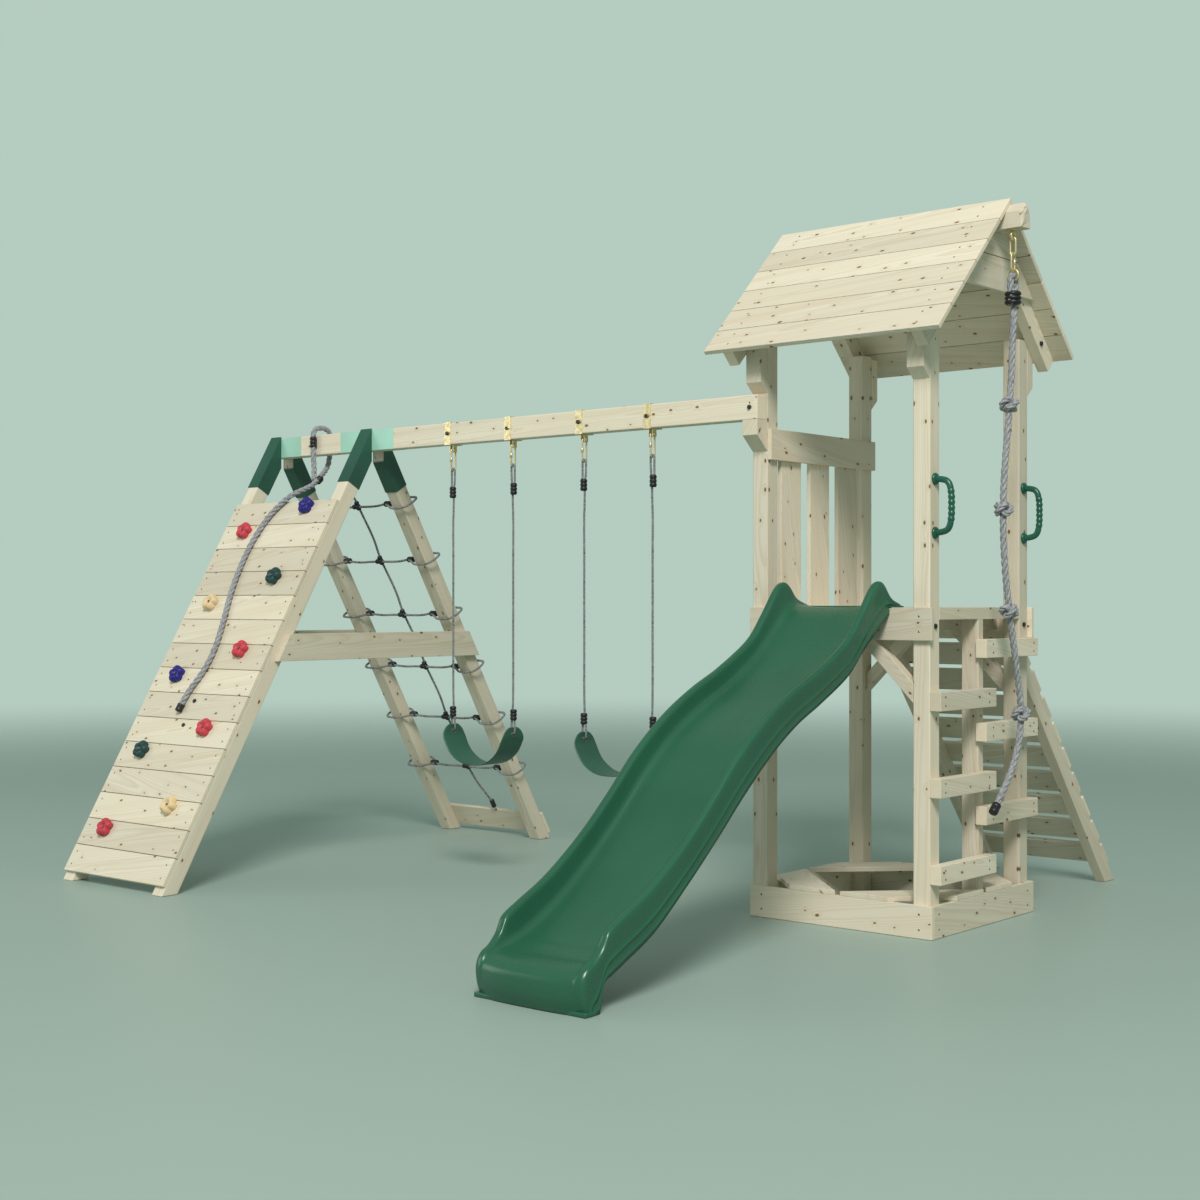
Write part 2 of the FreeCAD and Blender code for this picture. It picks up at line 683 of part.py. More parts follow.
def hold(x, distance, wall):
    """One climbing hold on the front wall or on the rear wall."""
    cone = doc.addObject("Part::Cone", "hold")
    cone.Radius1 = 38
    cone.Radius2 = 26
    cone.Height = 34
    if wall == "front":
        y, z = on_slope(distance, "beam_y - frame_spread", "lean", -1, "board")
        return place(cone, x, y, z, X_AXIS, "90 - lean")
    y, z = on_slope(distance, "rear_foot", "rear_lean", 1, "board")
    return place(cone, x, y, z, X_AXIS, "270 + rear_lean")


HOLD_COLUMN = {"left": "frame_middle_x - 190", "right": "frame_middle_x + 180"}
REAR_COLUMN = {"left": "middle_x - 190", "right": "middle_x + 235"}


def on_board(k):
    """How far up the rear wall the middle of a board is."""
    return f"(rear_start + {k} * rear_pitch + rear_board / 2)"


HOLDS = {
    "red": [("front", "left", 1780), ("front", "right", 1150), ("front", "right", 760),
            ("front", "left", 252), ("rear", "right", on_board(1)),
            ("rear", "left", on_board(6))],
    "blue": [("front", "right", 1906), ("front", "left", 1014), ("rear", "left", on_board(2)),
             ("rear", "right", on_board(7))],
    "green": [("front", "right", 1528), ("front", "left", 632), ("rear", "right", on_board(3)),
              ("rear", "left", on_board(8))],
    "cream": [("front", "left", 1390), ("front", "right", 388), ("rear", "left", on_board(4)),
              ("rear", "right", on_board(5))],
}
for colour, spots in HOLDS.items():
    node(f"holds_{colour}", group([
        hold((HOLD_COLUMN if wall == "front" else REAR_COLUMN)[column], str(distance), wall)
        for wall, column, distance in spots
    ]))

# ---------------------------------------------------------------- bolts
BOLT_HEAD = "9"
BOLTS = []
for y in ("front_post_y + post / 2", "rear_post_y + post / 2"):
    BOLTS.append(rod(BOLT_HEAD, "6", "-board", y, "deck_height - 68", Y_AXIS, "90"))
for y in ("board - batten / 2", "rear_post_y + post + batten / 2"):
    BOLTS.append(rod(BOLT_HEAD, "6", "-board + batten", y, "post_height - 12", Y_AXIS, "90"))
    BOLTS.append(rod(BOLT_HEAD, "6", "rafter_left_x", y, "post_height - 12", Y_AXIS, "270"))
BOLTS.append(rod(BOLT_HEAD, "6", "-tower_width + post / 2", "board - beam_width",
                 "beam_foot + beam_height / 2", X_AXIS, "90"))
for shift in (60, -60):
    y, z = on_slope(f"830 + ({shift})", "beam_y - frame_spread", "lean", -1, "board")
    BOLTS.append(rod("5", "3", "frame_middle_x + 12", y, z, X_AXIS, "90 - lean"))
node("bolts", group(BOLTS))


# ---------------------------------------------------------------- swings
SWINGS = {"swing_1": -size("swing_one"), "swing_2": -size("swing_two")}
BEAM_Y = size("beam_y")
PIVOT_Z = size("pivot_z")


def hanger(x):
    """A strap over the beam, two ears under it and the pin that a hook turns on."""
    half = size("strap_width / 2")
    strap = size("strap")
    beam_half = size("beam_width / 2")
    top = size("beam_top")
    foot = size("beam_foot")
    outer = Part.makeBox(2 * half, 2 * (beam_half + strap), top - foot + 2 * strap,
                         at(x - half, BEAM_Y - beam_half - strap, foot - strap))
    inner = Part.makeBox(2 * half, 2 * beam_half, top - foot,
                         at(x - half, BEAM_Y - beam_half, foot))
    solid = outer.cut(inner)
    radius = size("pin_radius")
    ear_drop = foot - strap - PIVOT_Z + 12
    for side in (-1, 1):
        ear_x = x + side * 9 - 1.5
        ear = Part.makeBox(3, 24, ear_drop - 2, at(ear_x, BEAM_Y - 12, PIVOT_Z - 10))
        solid = solid.fuse(ear)
    pin = Part.makeCylinder(radius, 30, at(x - 15, BEAM_Y, PIVOT_Z), X_AXIS)
    solid = solid.fuse(pin)
    for side in (-1, 1):
        head = Part.makeCylinder(7.5, 5, at(x + side * 10.5 - (5 if side < 0 else 0),
                                            BEAM_Y, PIVOT_Z), X_AXIS)
        solid = solid.fuse(head)
    for face in (-1, 1):
        start = BEAM_Y + face * (beam_half + strap) - (5 if face < 0 else 0)
        bolt = Part.makeCylinder(8, 5, at(x, start, (top + foot) / 2), Y_AXIS)
        solid = solid.fuse(bolt)
    return solid


HANGER_HALF = size("hanger_half")
node("swing_hangers", group([
    made(hanger(x + side * HANGER_HALF)) for x in SWINGS.values() for side in (-1, 1)
]))

# Heights of the middle of a hook's wire, at its top and at its foot.
HOOK_TOP = PIVOT_Z + size("pin_radius + hook_wire") + 0.3
HOOK_FOOT = HOOK_TOP - size("hook_height - 2 * hook_wire")
EYELET = 11.0
SEAT_TURN = 650.0


def swing_rope(x, y_side):
    """Up round the hook, down to the seat and round its end, in the X-Z plane."""
    outward = y_side
    turn_top = HOOK_FOOT + size("hook_wire + swing_rope / 2") + 0.3
    route = [
        (9 * outward, 1690), (10 * outward, 1722), (9.4 * outward, 1760),
        (9.6 * outward, turn_top - 22), (9.6 * outward, turn_top),
        (-9.6 * outward, turn_top), (-9.6 * outward, turn_top - 22),
        (-9 * outward, 1760), (-3 * outward, 1715), (-2 * outward, 1640),
        (1.5 * outward, 1560), (0, 1420), (0.6 * outward, 1250), (0, 1080), (0.6 * outward, 930),
        (0, 800), (-3 * outward, 745), (-9 * outward, 700), (-9.4 * outward, 676),
        (-9.4 * outward, SEAT_TURN), (9.4 * outward, SEAT_TURN), (9.4 * outward, 676),
        (8.8 * outward, 702), (6.6 * outward, 722),
    ]
    return rope_solid([at(x + dx, BEAM_Y, z) for dx, z in route], size("swing_rope"))


def seat(x):
    """A belt that hangs in a wide U, its two ends standing up with a hole each."""
    half = HANGER_HALF
    thick = size("seat_belt")
    width = size("seat_width")
    points = [(-half, 677), (-half, 656), (-half + 6, 620), (-half + 42, 560),
              (-half + 105, 518), (0, 506), (half - 105, 518), (half - 42, 560),
              (half - 6, 620), (half, 656), (half, 677)]
    middle = Part.BSplineCurve()
    middle.interpolate([FreeCAD.Vector(px, 0, pz) for px, pz in points])
    outer_curve = Part.BSplineCurve()
    inner_curve = Part.BSplineCurve()
    outer, inner = [], []
    steps = 24
    for k in range(steps + 1):
        t = middle.FirstParameter + (middle.LastParameter - middle.FirstParameter) * k / steps
        point = middle.value(t)
        along = middle.tangent(t)[0]
        away = FreeCAD.Vector(along.z, 0, -along.x)
        outer.append(point + away * (thick / 2))
        inner.append(point - away * (thick / 2))
    outer_curve.interpolate(outer)
    inner_curve.interpolate(inner)
    face = Part.Face(Part.Wire([
        outer_curve.toShape(), Part.makeLine(outer[-1], inner[-1]),
        inner_curve.toShape(), Part.makeLine(inner[0], outer[0]),
    ]))
    belt = face.extrude(FreeCAD.Vector(0, width, 0))
    for side in (-1, 1):
        eyelet_z = SEAT_TURN + size("swing_rope / 2") + 1.3 - EYELET
        mouth = FreeCAD.Vector(side * half - 20, width / 2, eyelet_z)
        hole = Part.makeCylinder(EYELET, 40, mouth, X_AXIS)
        belt = belt.cut(hole)
    belt.translate(at(x, BEAM_Y - width / 2, 0))
    return belt


for name, x in SWINGS.items():
    node(f"{name}_hooks", group([
        made(link_solid(at(x + side * HANGER_HALF, BEAM_Y, HOOK_TOP),
                        Y_AXIS, size("hook_half"),
                        size("hook_height - 2 * hook_wire"), size("hook_wire")))
        for side in (-1, 1)
    ]))
    for side_name, side in (("left", -1), ("right", 1)):
        node(f"{name}_rope_{side_name}", made(swing_rope(x + side * HANGER_HALF, side)))
    clamps = []
    for side in (-1, 1):
        rope_x = x + side * HANGER_HALF
        clamps.append(made(clamp_solid(at(rope_x + side * 3, BEAM_Y, 1712), Z_AXIS, 15, 50)))
        clamps.append(made(clamp_solid(at(rope_x + side * 2, BEAM_Y, 731), Z_AXIS, 15, 47)))
    node(f"{name}_clamps", group(clamps))
    node(f"{name}_seat", made(seat(x)))

# ---------------------------------------------------------------- climbing rope
ROPE_X = 115.0
ROPE_Y = size("middle_y")
EYE_WIRE = 5.0
EYE_RADIUS = 15.0
RIDGE_FOOT = size("roof_under_ridge - ridge_beam_height")
EYE_Z = RIDGE_FOOT - 3 - EYE_WIRE - EYE_RADIUS
THICK = size("thick_rope")
LINK_WIRE = 4.0
eye = ring_solid(at(ROPE_X, ROPE_Y, EYE_Z), X_AXIS, EYE_RADIUS, EYE_WIRE)
eye_plate = Part.makeCylinder(22, 4, at(ROPE_X, ROPE_Y, RIDGE_FOOT - 4), Z_AXIS)
node("rope_eye", made(eye.fuse(eye_plate)))

EYE_WIRE_Z = EYE_Z - EYE_RADIUS
LINK_TOP = EYE_WIRE_Z + EYE_WIRE + 0.3 + LINK_WIRE
LINK_HEIGHT = 66.0
node("rope_link", made(link_solid(at(ROPE_X, ROPE_Y, LINK_TOP), X_AXIS, 11, LINK_HEIGHT,
                                  LINK_WIRE)))
LINK_FOOT = LINK_TOP - LINK_HEIGHT
HOOK2_TOP = LINK_FOOT + 2 * LINK_WIRE + 0.3
HOOK2_HEIGHT = 70.0
HOOK2_FOOT = HOOK2_TOP - HOOK2_HEIGHT
RING_RADIUS = 21.6
RING_Z = HOOK2_FOOT + 2 * LINK_WIRE + 0.3 - RING_RADIUS
carabiner = made(link_solid(at(ROPE_X, ROPE_Y, HOOK2_TOP), Y_AXIS, 13, HOOK2_HEIGHT, LINK_WIRE))
shackle_ring = made(ring_solid(at(ROPE_X, ROPE_Y, RING_Z), Y_AXIS, RING_RADIUS, LINK_WIRE))
node("rope_carabiner", group([carabiner, shackle_ring]))

LOOP_TOP = RING_Z - RING_RADIUS + LINK_WIRE + 0.3 + THICK / 2
ROPE_ROUTE = [
    (-15, 2330), (-15.5, 2372), (-20, 2395), (-20, LOOP_TOP), (20, LOOP_TOP), (20, 2395),
    (15, 2372), (12, 2325), (2, 2262), (-5, 2150), (-14, 2050), (-27, 1955), (-46, 1830),
    (-68, 1700), (-80, 1565), (-74, 1430), (-56, 1300), (-30, 1187), (2, 1070), (34, 960),
    (57, 870), (66, 790), (52, 700), (10, 615), (-52, 545), (-110, 490), (-152, 452),
]
node("climbing_rope", made(rope_solid(
    [at(ROPE_X, ROPE_Y + dy, z) for dy, z in ROPE_ROUTE], THICK)))
KNOTS = [(-27, 1955), (-80, 1565), (-30, 1187), (66, 800)]
node("climbing_rope_knots", group([
    made(Part.makeSphere(33, at(ROPE_X, ROPE_Y + dy, z))) for dy, z in KNOTS
]))
END_AIM = FreeCAD.Vector(0, ROPE_ROUTE[-1][0] - ROPE_ROUTE[-2][0],
                         ROPE_ROUTE[-1][1] - ROPE_ROUTE[-2][1]).normalize()
END = at(ROPE_X, ROPE_Y + ROPE_ROUTE[-1][0], ROPE_ROUTE[-1][1])
node("climbing_rope_clamps", group([
    made(clamp_solid(at(ROPE_X, ROPE_Y, 2354), Z_AXIS, 31, 50)),
    made(Part.makeCylinder(17, 44, END - END_AIM * 34, END_AIM)),
]))

# ---------------------------------------------------------------- wall rope
LEAN = math.radians(size("lean"))
WALL_FOOT = size("beam_y - frame_spread")


def on_wall(x, z, lift):
    """A point at a height on the front wall's face, lifted off the boards."""
    reach = (size("board") + lift) / math.cos(LEAN)
    return at(x, WALL_FOOT - reach + z * math.tan(LEAN), z)


def by_beam(x, side, gap, z):
    """A point off one side of the beam: -1 is the front, 1 the rear."""
    return at(x, BEAM_Y + side * (size("beam_width / 2") + gap), z)


WALL_ROPE = [
    by_beam(-3262, -1, 49, 1800), by_beam(-3280, -1, 31, 1850), by_beam(-3296, -1, 23, 1905),
    by_beam(-3302, -1, 19, 1975), by_beam(-3302, -1, 19, 2056), by_beam(-3304, 1, 19, 2056),
    by_beam(-3310, 1, 21, 1970), by_beam(-3306, 1, 15, 1895), by_beam(-3290, 1, -23, 1852),
    by_beam(-3262, -1, 1, 1826), by_beam(-3232, -1, 51, 1800), by_beam(-3200, -1, 115, 1765),
    on_wall(-3205, 1726, 22), on_wall(-3262, 1694, 16), on_wall(-3322, 1625, 15),
    on_wall(-3358, 1520, 15), on_wall(-3362, 1400, 15), on_wall(-3344, 1275, 15),
    on_wall(-3300, 1145, 15), on_wall(-3264, 1015, 15), on_wall(-3272, 905, 15),
    on_wall(-3318, 815, 16), on_wall(-3320, 742, 17),
]
node("wall_rope", made(rope_solid(WALL_ROPE, THICK)))
WALL_END = WALL_ROPE[-1]
WALL_AIM = (WALL_ROPE[-1] - WALL_ROPE[-2]).normalize()
node("wall_rope_clamps", group([
    made(clamp_solid(by_beam(-3302, -1, 19, 1985), Z_AXIS, 17, 52)),
    made(Part.makeCylinder(17, 40, by_beam(-3232, -1, 51, 1800) - FreeCAD.Vector(8, -24, -9),
                           FreeCAD.Vector(30, -64, -35))),
    made(Part.makeCylinder(15.5, 36, WALL_END - WALL_AIM * 26, WALL_AIM)),
]))

# ---------------------------------------------------------------- rope net
NET_X = size("frame_middle_x")
NET_MIDDLE = size("beam_y + frame_spread - leg_foot_run / 2")
UP_SLOPE = FreeCAD.Vector(0, -math.sin(LEAN), math.cos(LEAN))
OFF_SLOPE = FreeCAD.Vector(0, math.cos(LEAN), math.sin(LEAN))
LEG_REACH = size("frame_width / 2")
NET_LEVELS = [435 + 304 * k for k in range(6)]


def on_net(x, off, distance):
    """A point in the net's plane: along X, out of the plane and up the slope."""
    foot = FreeCAD.Vector(NET_X, NET_MIDDLE, 0) + SHIFT
    return foot + X_AXIS * x + OFF_SLOPE * off + UP_SLOPE * distance


LEG_WIDE = size("post")
LEG_HALF = LEG_WIDE / 2
HALF_ROPE = [
    (LEG_REACH - LEG_WIDE - 73, -6.5, 0), (LEG_REACH - LEG_WIDE - 42, -18, -1),
    (LEG_REACH - LEG_WIDE - 2, -LEG_HALF - 12, -3), (LEG_REACH - 20, -LEG_HALF - 17, -4),
    (LEG_REACH + 42, -LEG_HALF - 9, 0), (LEG_REACH + 43, LEG_HALF + 9, 4),
    (LEG_REACH - 20, LEG_HALF + 17, 4), (LEG_REACH - LEG_WIDE - 2, LEG_HALF + 12, 2),
    (LEG_REACH - LEG_WIDE - 42, 18, 0), (LEG_REACH - LEG_WIDE - 78, 6.2, -2),
    (LEG_REACH - LEG_WIDE - 150, 1, -13), (50, -2, -10),
]


def cross_rope(level):
    left = [(-x, -off, up) for x, off, up in HALF_ROPE]
    points = [on_net(x, off, level + up) for x, off, up in HALF_ROPE]
    points += [on_net(x, off, level + up) for x, off, up in left[::-1]]
    return rope_solid(points, size("net_rope"))


node("net_cross_ropes", group([made(cross_rope(level)) for level in NET_LEVELS]))

CENTRE_ROPE = [(54, 0, 2127), (40, -12, 2082), (14, -9, 2020)]
for k in range(6):
    level = NET_LEVELS[5 - k]
    CENTRE_ROPE += [(0, 12, level + 20), (2, 12, level - 50), (14, 10, level - 150),
                    (13, 10, level - 215)]
CENTRE_ROPE = CENTRE_ROPE[:-2]
CENTRE_ROPE += [(18, 13, 310), (38, 22, 235), (44, 30, 190)]
node("net_centre_rope", made(rope_solid([on_net(x, off, up) for x, off, up in CENTRE_ROPE],
                                        size("net_rope"))))

CLAMPS = []
for level in NET_LEVELS:
    for side in (-1, 1):
        middle = on_net(side * (LEG_REACH - LEG_WIDE - 60), 0, level - 2)
        CLAMPS.append(made(clamp_solid(middle, X_AXIS, 13, 44)))
    CLAMPS.append(made(Part.makeCylinder(10, 44, on_net(-22, 0, level - 9), X_AXIS)
                       .fuse(Part.makeCylinder(10, 44, on_net(0, 10, level - 30), UP_SLOPE))))
CLAMPS.append(made(clamp_solid(on_net(44, 32, 172), UP_SLOPE, 13, 44)))
node("net_clamps", group(CLAMPS))


# ---------------------------------------------------------------- export
doc.recompute()
for obj in doc.Objects:
    state = [word for word in obj.State if word in ("Invalid", "Error")]
    if state:
        raise RuntimeError(f"{obj.Label}: {state}")
os.makedirs("parts", exist_ok=True)
for name, obj in nodes.items():
    if obj.Shape.isNull() or not obj.Shape.isValid():
        raise RuntimeError(f"{name} has no valid shape")
    obj.Shape.exportStep(os.path.join("parts", name + ".step"))
print(len(nodes), "nodes")
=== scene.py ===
# %% [markdown]
# # A wooden play tower with a swing beam
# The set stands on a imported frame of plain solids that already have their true
# sizes and joints. This lesson dresses that frame: planed pine boards, a glossy
# moulded slide, laid ropes, zinc hooks and moulded climbing holds. Every piece is
# placed from the frame, in metres, and rides on one of its bodies.

# %% The frame and its box
import json
import math
import random

import bmesh
import bpy
import numpy as np
from mathutils import Matrix, Vector


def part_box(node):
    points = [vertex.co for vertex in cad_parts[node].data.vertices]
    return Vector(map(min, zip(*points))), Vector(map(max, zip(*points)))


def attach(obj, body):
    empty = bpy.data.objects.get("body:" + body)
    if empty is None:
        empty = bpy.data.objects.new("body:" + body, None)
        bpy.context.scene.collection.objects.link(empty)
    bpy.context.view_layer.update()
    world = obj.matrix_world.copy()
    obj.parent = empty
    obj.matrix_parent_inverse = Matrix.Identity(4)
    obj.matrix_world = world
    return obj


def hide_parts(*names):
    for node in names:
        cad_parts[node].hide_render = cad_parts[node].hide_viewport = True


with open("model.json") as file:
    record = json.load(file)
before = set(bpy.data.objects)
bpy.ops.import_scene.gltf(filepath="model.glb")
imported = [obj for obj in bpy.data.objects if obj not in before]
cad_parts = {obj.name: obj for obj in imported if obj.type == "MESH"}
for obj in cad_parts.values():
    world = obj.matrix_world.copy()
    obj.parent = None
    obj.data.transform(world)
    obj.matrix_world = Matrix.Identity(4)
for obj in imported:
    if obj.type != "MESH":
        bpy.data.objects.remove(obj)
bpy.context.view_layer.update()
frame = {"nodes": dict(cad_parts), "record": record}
nodes = frame["nodes"]

# %% [markdown]
# ## Where things are
# Places along the tower are easiest to give from its front right bottom corner,
# which is a corner of the sandbox boards. Reading that corner from the frame keeps
# every later number free of the frame's own origin.

# %% The tower's corner
sand_low, sand_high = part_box("sandbox_boards")
CORNER = Vector((sand_high[0], sand_low[1], 0.0))
BEAM_LOW, BEAM_HIGH = (Vector(p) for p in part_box("swing_beam"))
BEAM_Y = (BEAM_LOW.y + BEAM_HIGH.y) / 2 - CORNER.y


def at(x, y, z):
    """A point given from the tower's corner, as a point of the frame."""
    return Vector((x, y, z)) + CORNER


def placed(name, data):
    """A new object at the origin, in the scene."""
    obj = bpy.data.objects.new(name, data)
    bpy.context.scene.collection.objects.link(obj)
    return obj


def dress(obj, body, node):
    """Says which body a piece rides on, which node it replaces."""
    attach(obj, body)
    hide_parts(node)
    return obj


print("corner", tuple(round(v, 4) for v in CORNER), "beam line", round(BEAM_Y, 4))

# %% [markdown]
# ## The camera
# The set is seen from a child's eye height, a little to the right of its front. A
# level camera keeps the posts upright in the picture, so only its turn about the
# vertical, its lens and a slight shift are needed.

# %% A level camera
CAMERA_PLACE = (3.198, -5.623, 1.215)
CAMERA_TURN = 40.273
camera_data = bpy.data.cameras.new("camera")
camera_data.sensor_width = 36
camera_data.lens = 52.96
camera_data.shift_y = 0.0028
camera = placed("camera", camera_data)
camera.location = at(*CAMERA_PLACE)
camera.rotation_euler = (math.radians(90), 0, math.radians(CAMERA_TURN))
bpy.context.scene.camera = camera
print("camera", tuple(round(v, 3) for v in camera.location))

# %% [markdown]
# ## Shader sums
# A finish is mostly arithmetic on patterns. Wiring Math nodes by hand hides that
# arithmetic, so a small class wraps a socket and lets it be added, multiplied and
# compared like a number, and another one makes every other kind of node.


# %% A socket that can be reckoned with
class Sum:
    """A number socket; an operator on it adds a Math node."""

    def __init__(self, finish, socket):
        self.finish = finish
        self.socket = socket

    def _with(self, operation, *others):
        return self.finish.node("ShaderNodeMath", {"operation": operation},
                                dict(enumerate((self, *others))))

    def __add__(self, other):
        return self._with("ADD", other)

    def __sub__(self, other):
        return self._with("SUBTRACT", other)

    def __mul__(self, other):
        return self._with("MULTIPLY", other)

    def __truediv__(self, other):
        return self._with("DIVIDE", other)

    def __rsub__(self, other):
        return self.finish.node("ShaderNodeMath", {"operation": "SUBTRACT"},
                                {0: other, 1: self})

    def __pow__(self, other):
        return self._with("POWER", other)

    def fraction(self):
        return self._with("FRACT")

    def over(self, other):
        return self._with("GREATER_THAN", other)

    __radd__ = __add__
    __rmul__ = __mul__


# %% A finish, one node at a time
class Finish:
    """A material whose nodes are added one by one; the last step is surface()."""

    def __init__(self, name):
        self.material = bpy.data.materials.new(name)
        self.material.use_nodes = True
        self.tree = self.material.node_tree
        self.tree.nodes.clear()

    def node(self, kind, settings=None, values=None, output=0):
        """Adds a node, sets its settings and its sockets, and returns one output."""
        node = self.tree.nodes.new(kind)
        for name, value in (settings or {}).items():
            setattr(node, name, value)
        for name, value in (values or {}).items():
            self.put(node.inputs[name], value)
        return Sum(self, node.outputs[output])

    def put(self, socket, value):
        """Links a sum to the socket, or sets a plain value on it."""
        if isinstance(value, Sum):
            self.tree.links.new(value.socket, socket)
        else:
            socket.default_value = value

    def attribute(self, name, output="Vector"):
        return self.node("ShaderNodeAttribute", {"attribute_name": name}, output=output)

    def coordinate(self, output="Object"):
        return self.node("ShaderNodeTexCoord", output=output)

    def split(self, vector):
        node = self.tree.nodes.new("ShaderNodeSeparateXYZ")
        self.tree.links.new(vector.socket, node.inputs[0])
        return [Sum(self, socket) for socket in node.outputs]

    def join(self, x, y, z):
        return self.node("ShaderNodeCombineXYZ", values={0: x, 1: y, 2: z})

    def noise(self, vector, scale, detail=2.0, roughness=0.5):
        return self.node("ShaderNodeTexNoise", values={
            "Vector": vector, "Scale": scale, "Detail": detail, "Roughness": roughness})

    def ease(self, value, low, high, start=0.0, end=1.0):
        """Goes smoothly from start to end as the value goes from low to high."""
        return self.node("ShaderNodeMapRange", {"interpolation_type": "SMOOTHSTEP"}, {
            "Value": value, "From Min": low, "From Max": high,
            "To Min": start, "To Max": end})

    def mix(self, amount, first, second, blend="MIX"):
        node = self.tree.nodes.new("ShaderNodeMix")
        node.data_type = "RGBA"
        node.blend_type = blend
        for name, value in (("Factor_Float", amount), ("A_Color", first),
                            ("B_Color", second)):
            self.put(next(s for s in node.inputs if s.identifier == name), value)
        return Sum(self, next(s for s in node.outputs if s.identifier == "Result_Color"))

    def bump(self, height, strength, distance):
        return self.node("ShaderNodeBump", values={
            "Height": height, "Strength": strength, "Distance": distance})

    def surface(self, **values):
        """Ends the tree in one Principled surface."""
        shader = self.tree.nodes.new("ShaderNodeBsdfPrincipled")
        for name, value in values.items():
            self.put(shader.inputs[name.replace("_", " ")], value)
        end = self.tree.nodes.new("ShaderNodeOutputMaterial")
        self.tree.links.new(shader.outputs[0], end.inputs[0])
        return self.material


def rgb(r, g, b):
    return (r, g, b, 1.0)


# %% [markdown]
# ## Planed pine
# Pine boards show three things from a few metres away: soft streaks along the
# board, growth lines that bend round the knots, and small brown knots. Each board
# carries its own coordinates in an attribute called grain, measured along, across
# and through it, so the pattern turns with the board and no two boards match. The
# growth lines are cylinders about a heart line that lies outside most boards.


# %% The pine finish
def pine_finish(name, early, late, knot_chance=0.62):
    f = Finish(name)
    along, across, through = f.split(f.attribute("grain"))
    tone = f.attribute("tone", "Fac")
    end = f.attribute("end", "Fac")
    flat = f.join(along, (across + through) * 1.7, 0.0)
    knot_gap = 8.0
    cell = {"Vector": flat, "Scale": knot_gap, "Randomness": 0.9}
    distance = f.node("ShaderNodeTexVoronoi", {"voronoi_dimensions": "2D"}, cell)
    chance, girth, _ = f.split(f.node("ShaderNodeTexVoronoi", {"voronoi_dimensions": "2D"},
                                      cell, output="Color"))
    there = chance.over(1.0 - knot_chance) * (1.0 - end)
    girth = girth * 0.042 + 0.034
    ragged = f.noise(f.join(along, across, through), 190.0) * 0.016 - 0.008
    knot = f.ease(distance + ragged, girth, girth * 0.72) * there
    rim = f.ease(distance + ragged, girth * 1.35, girth) * there
    halo = f.ease(distance, 0.3, 0.0) * there
    wander = f.noise(f.join(along * 1.1, across * 4.0, through * 4.0), 1.0, 1.0)
    waver = f.noise(f.join(along * 6.0, across * 12.0, through * 12.0), 1.0, 1.0)
    heart = (across * across + through * through) ** 0.5
    heart = heart + wander * 0.03 + waver * 0.004 + halo * halo * 0.012
    ring = (heart / 0.0052).fraction()
    line = f.ease(ring, 0.35, 0.9) * f.ease(ring, 1.0, 0.93)
    streak = f.noise(f.join(along * 0.7, across * 30.0, through * 30.0), 1.0, 3.0, 0.55)
    broad = f.noise(f.join(along * 0.8, across * 9.0, through * 9.0), 1.0, 1.0)
    fibre = f.noise(f.join(along * 30.0, across * 900.0, through * 900.0), 1.0, 1.0)
    colour = f.mix(line * 0.42 + halo * 0.2, early, late)
    colour = f.mix(f.ease(streak, 0.42, 0.75, 0.0, 0.42), colour, late)
    colour = f.mix(f.ease(broad, 0.35, 0.75, 0.0, 0.35), colour,
                   rgb(early[0] * 0.98, early[1] * 0.90, early[2] * 0.82))
    colour = f.mix(end * 0.45, colour, rgb(0.78, 0.66, 0.50))
    colour = f.mix(rim * 0.55, colour, rgb(0.36, 0.20, 0.09))
    colour = f.mix(knot * 0.92, colour, rgb(0.15, 0.075, 0.035))
    shade = tone * 0.22 + 0.87
    colour = f.mix(1.0, colour, f.join(shade, shade * 0.995, shade * 0.985), "MULTIPLY")
    height = line * 0.5 + fibre * 0.5 - knot * 0.4
    return f.surface(Base_Color=colour, Roughness=streak * 0.16 + 0.52 - knot * 0.12,
                     Normal=f.bump(height, 0.35, 0.0006), IOR=1.45)


PINE_EARLY = rgb(0.75, 0.68, 0.56)
PINE_LATE = rgb(0.58, 0.46, 0.32)
pine = pine_finish("pine", PINE_EARLY, PINE_LATE)
print("pine nodes", len(pine.node_tree.nodes))


# %% [markdown]
# ## Moulded plastics, zinc and paint
# The slide and the handles are polyethylene: one deep colour, a soft gloss and a
# faint orange peel from the mould. The hooks and straps are steel with a yellow
# zinc coat, which is blotchy and part metallic. Painted steel is smoother still.


# %% Plastic, zinc and paint
def plastic_finish(name, colour, roughness=0.3, peel=0.08, cloud=0.12):
    f = Finish(name)
    place = f.coordinate()
    blotch = f.noise(place, 3.0, 2.0)
    fine = f.noise(place, 420.0, 1.0)
    dark = rgb(*(c * (1 - cloud) for c in colour[:3]))
    light = rgb(*(min(1.0, c * (1 + cloud)) for c in colour[:3]))
    return f.surface(Base_Color=f.mix(f.ease(blotch, 0.3, 0.7), dark, light),
                     Roughness=blotch * 0.1 + fine * 0.06 + (roughness - 0.08),
                     Normal=f.bump(fine, peel, 0.0004), IOR=1.5)


def zinc_finish(name, colour):
    f = Finish(name)
    place = f.coordinate()
    blotch = f.noise(place, 60.0, 3.0)
    scuff = f.noise(place, 900.0, 1.0)
    warm = rgb(colour[0] * 0.85, colour[1] * 0.74, colour[2] * 0.55)
    return f.surface(Base_Color=f.mix(f.ease(blotch, 0.35, 0.7), rgb(*colour), warm),
                     Metallic=0.7, Roughness=blotch * 0.22 + 0.26,
                     Normal=f.bump(scuff, 0.1, 0.0002))


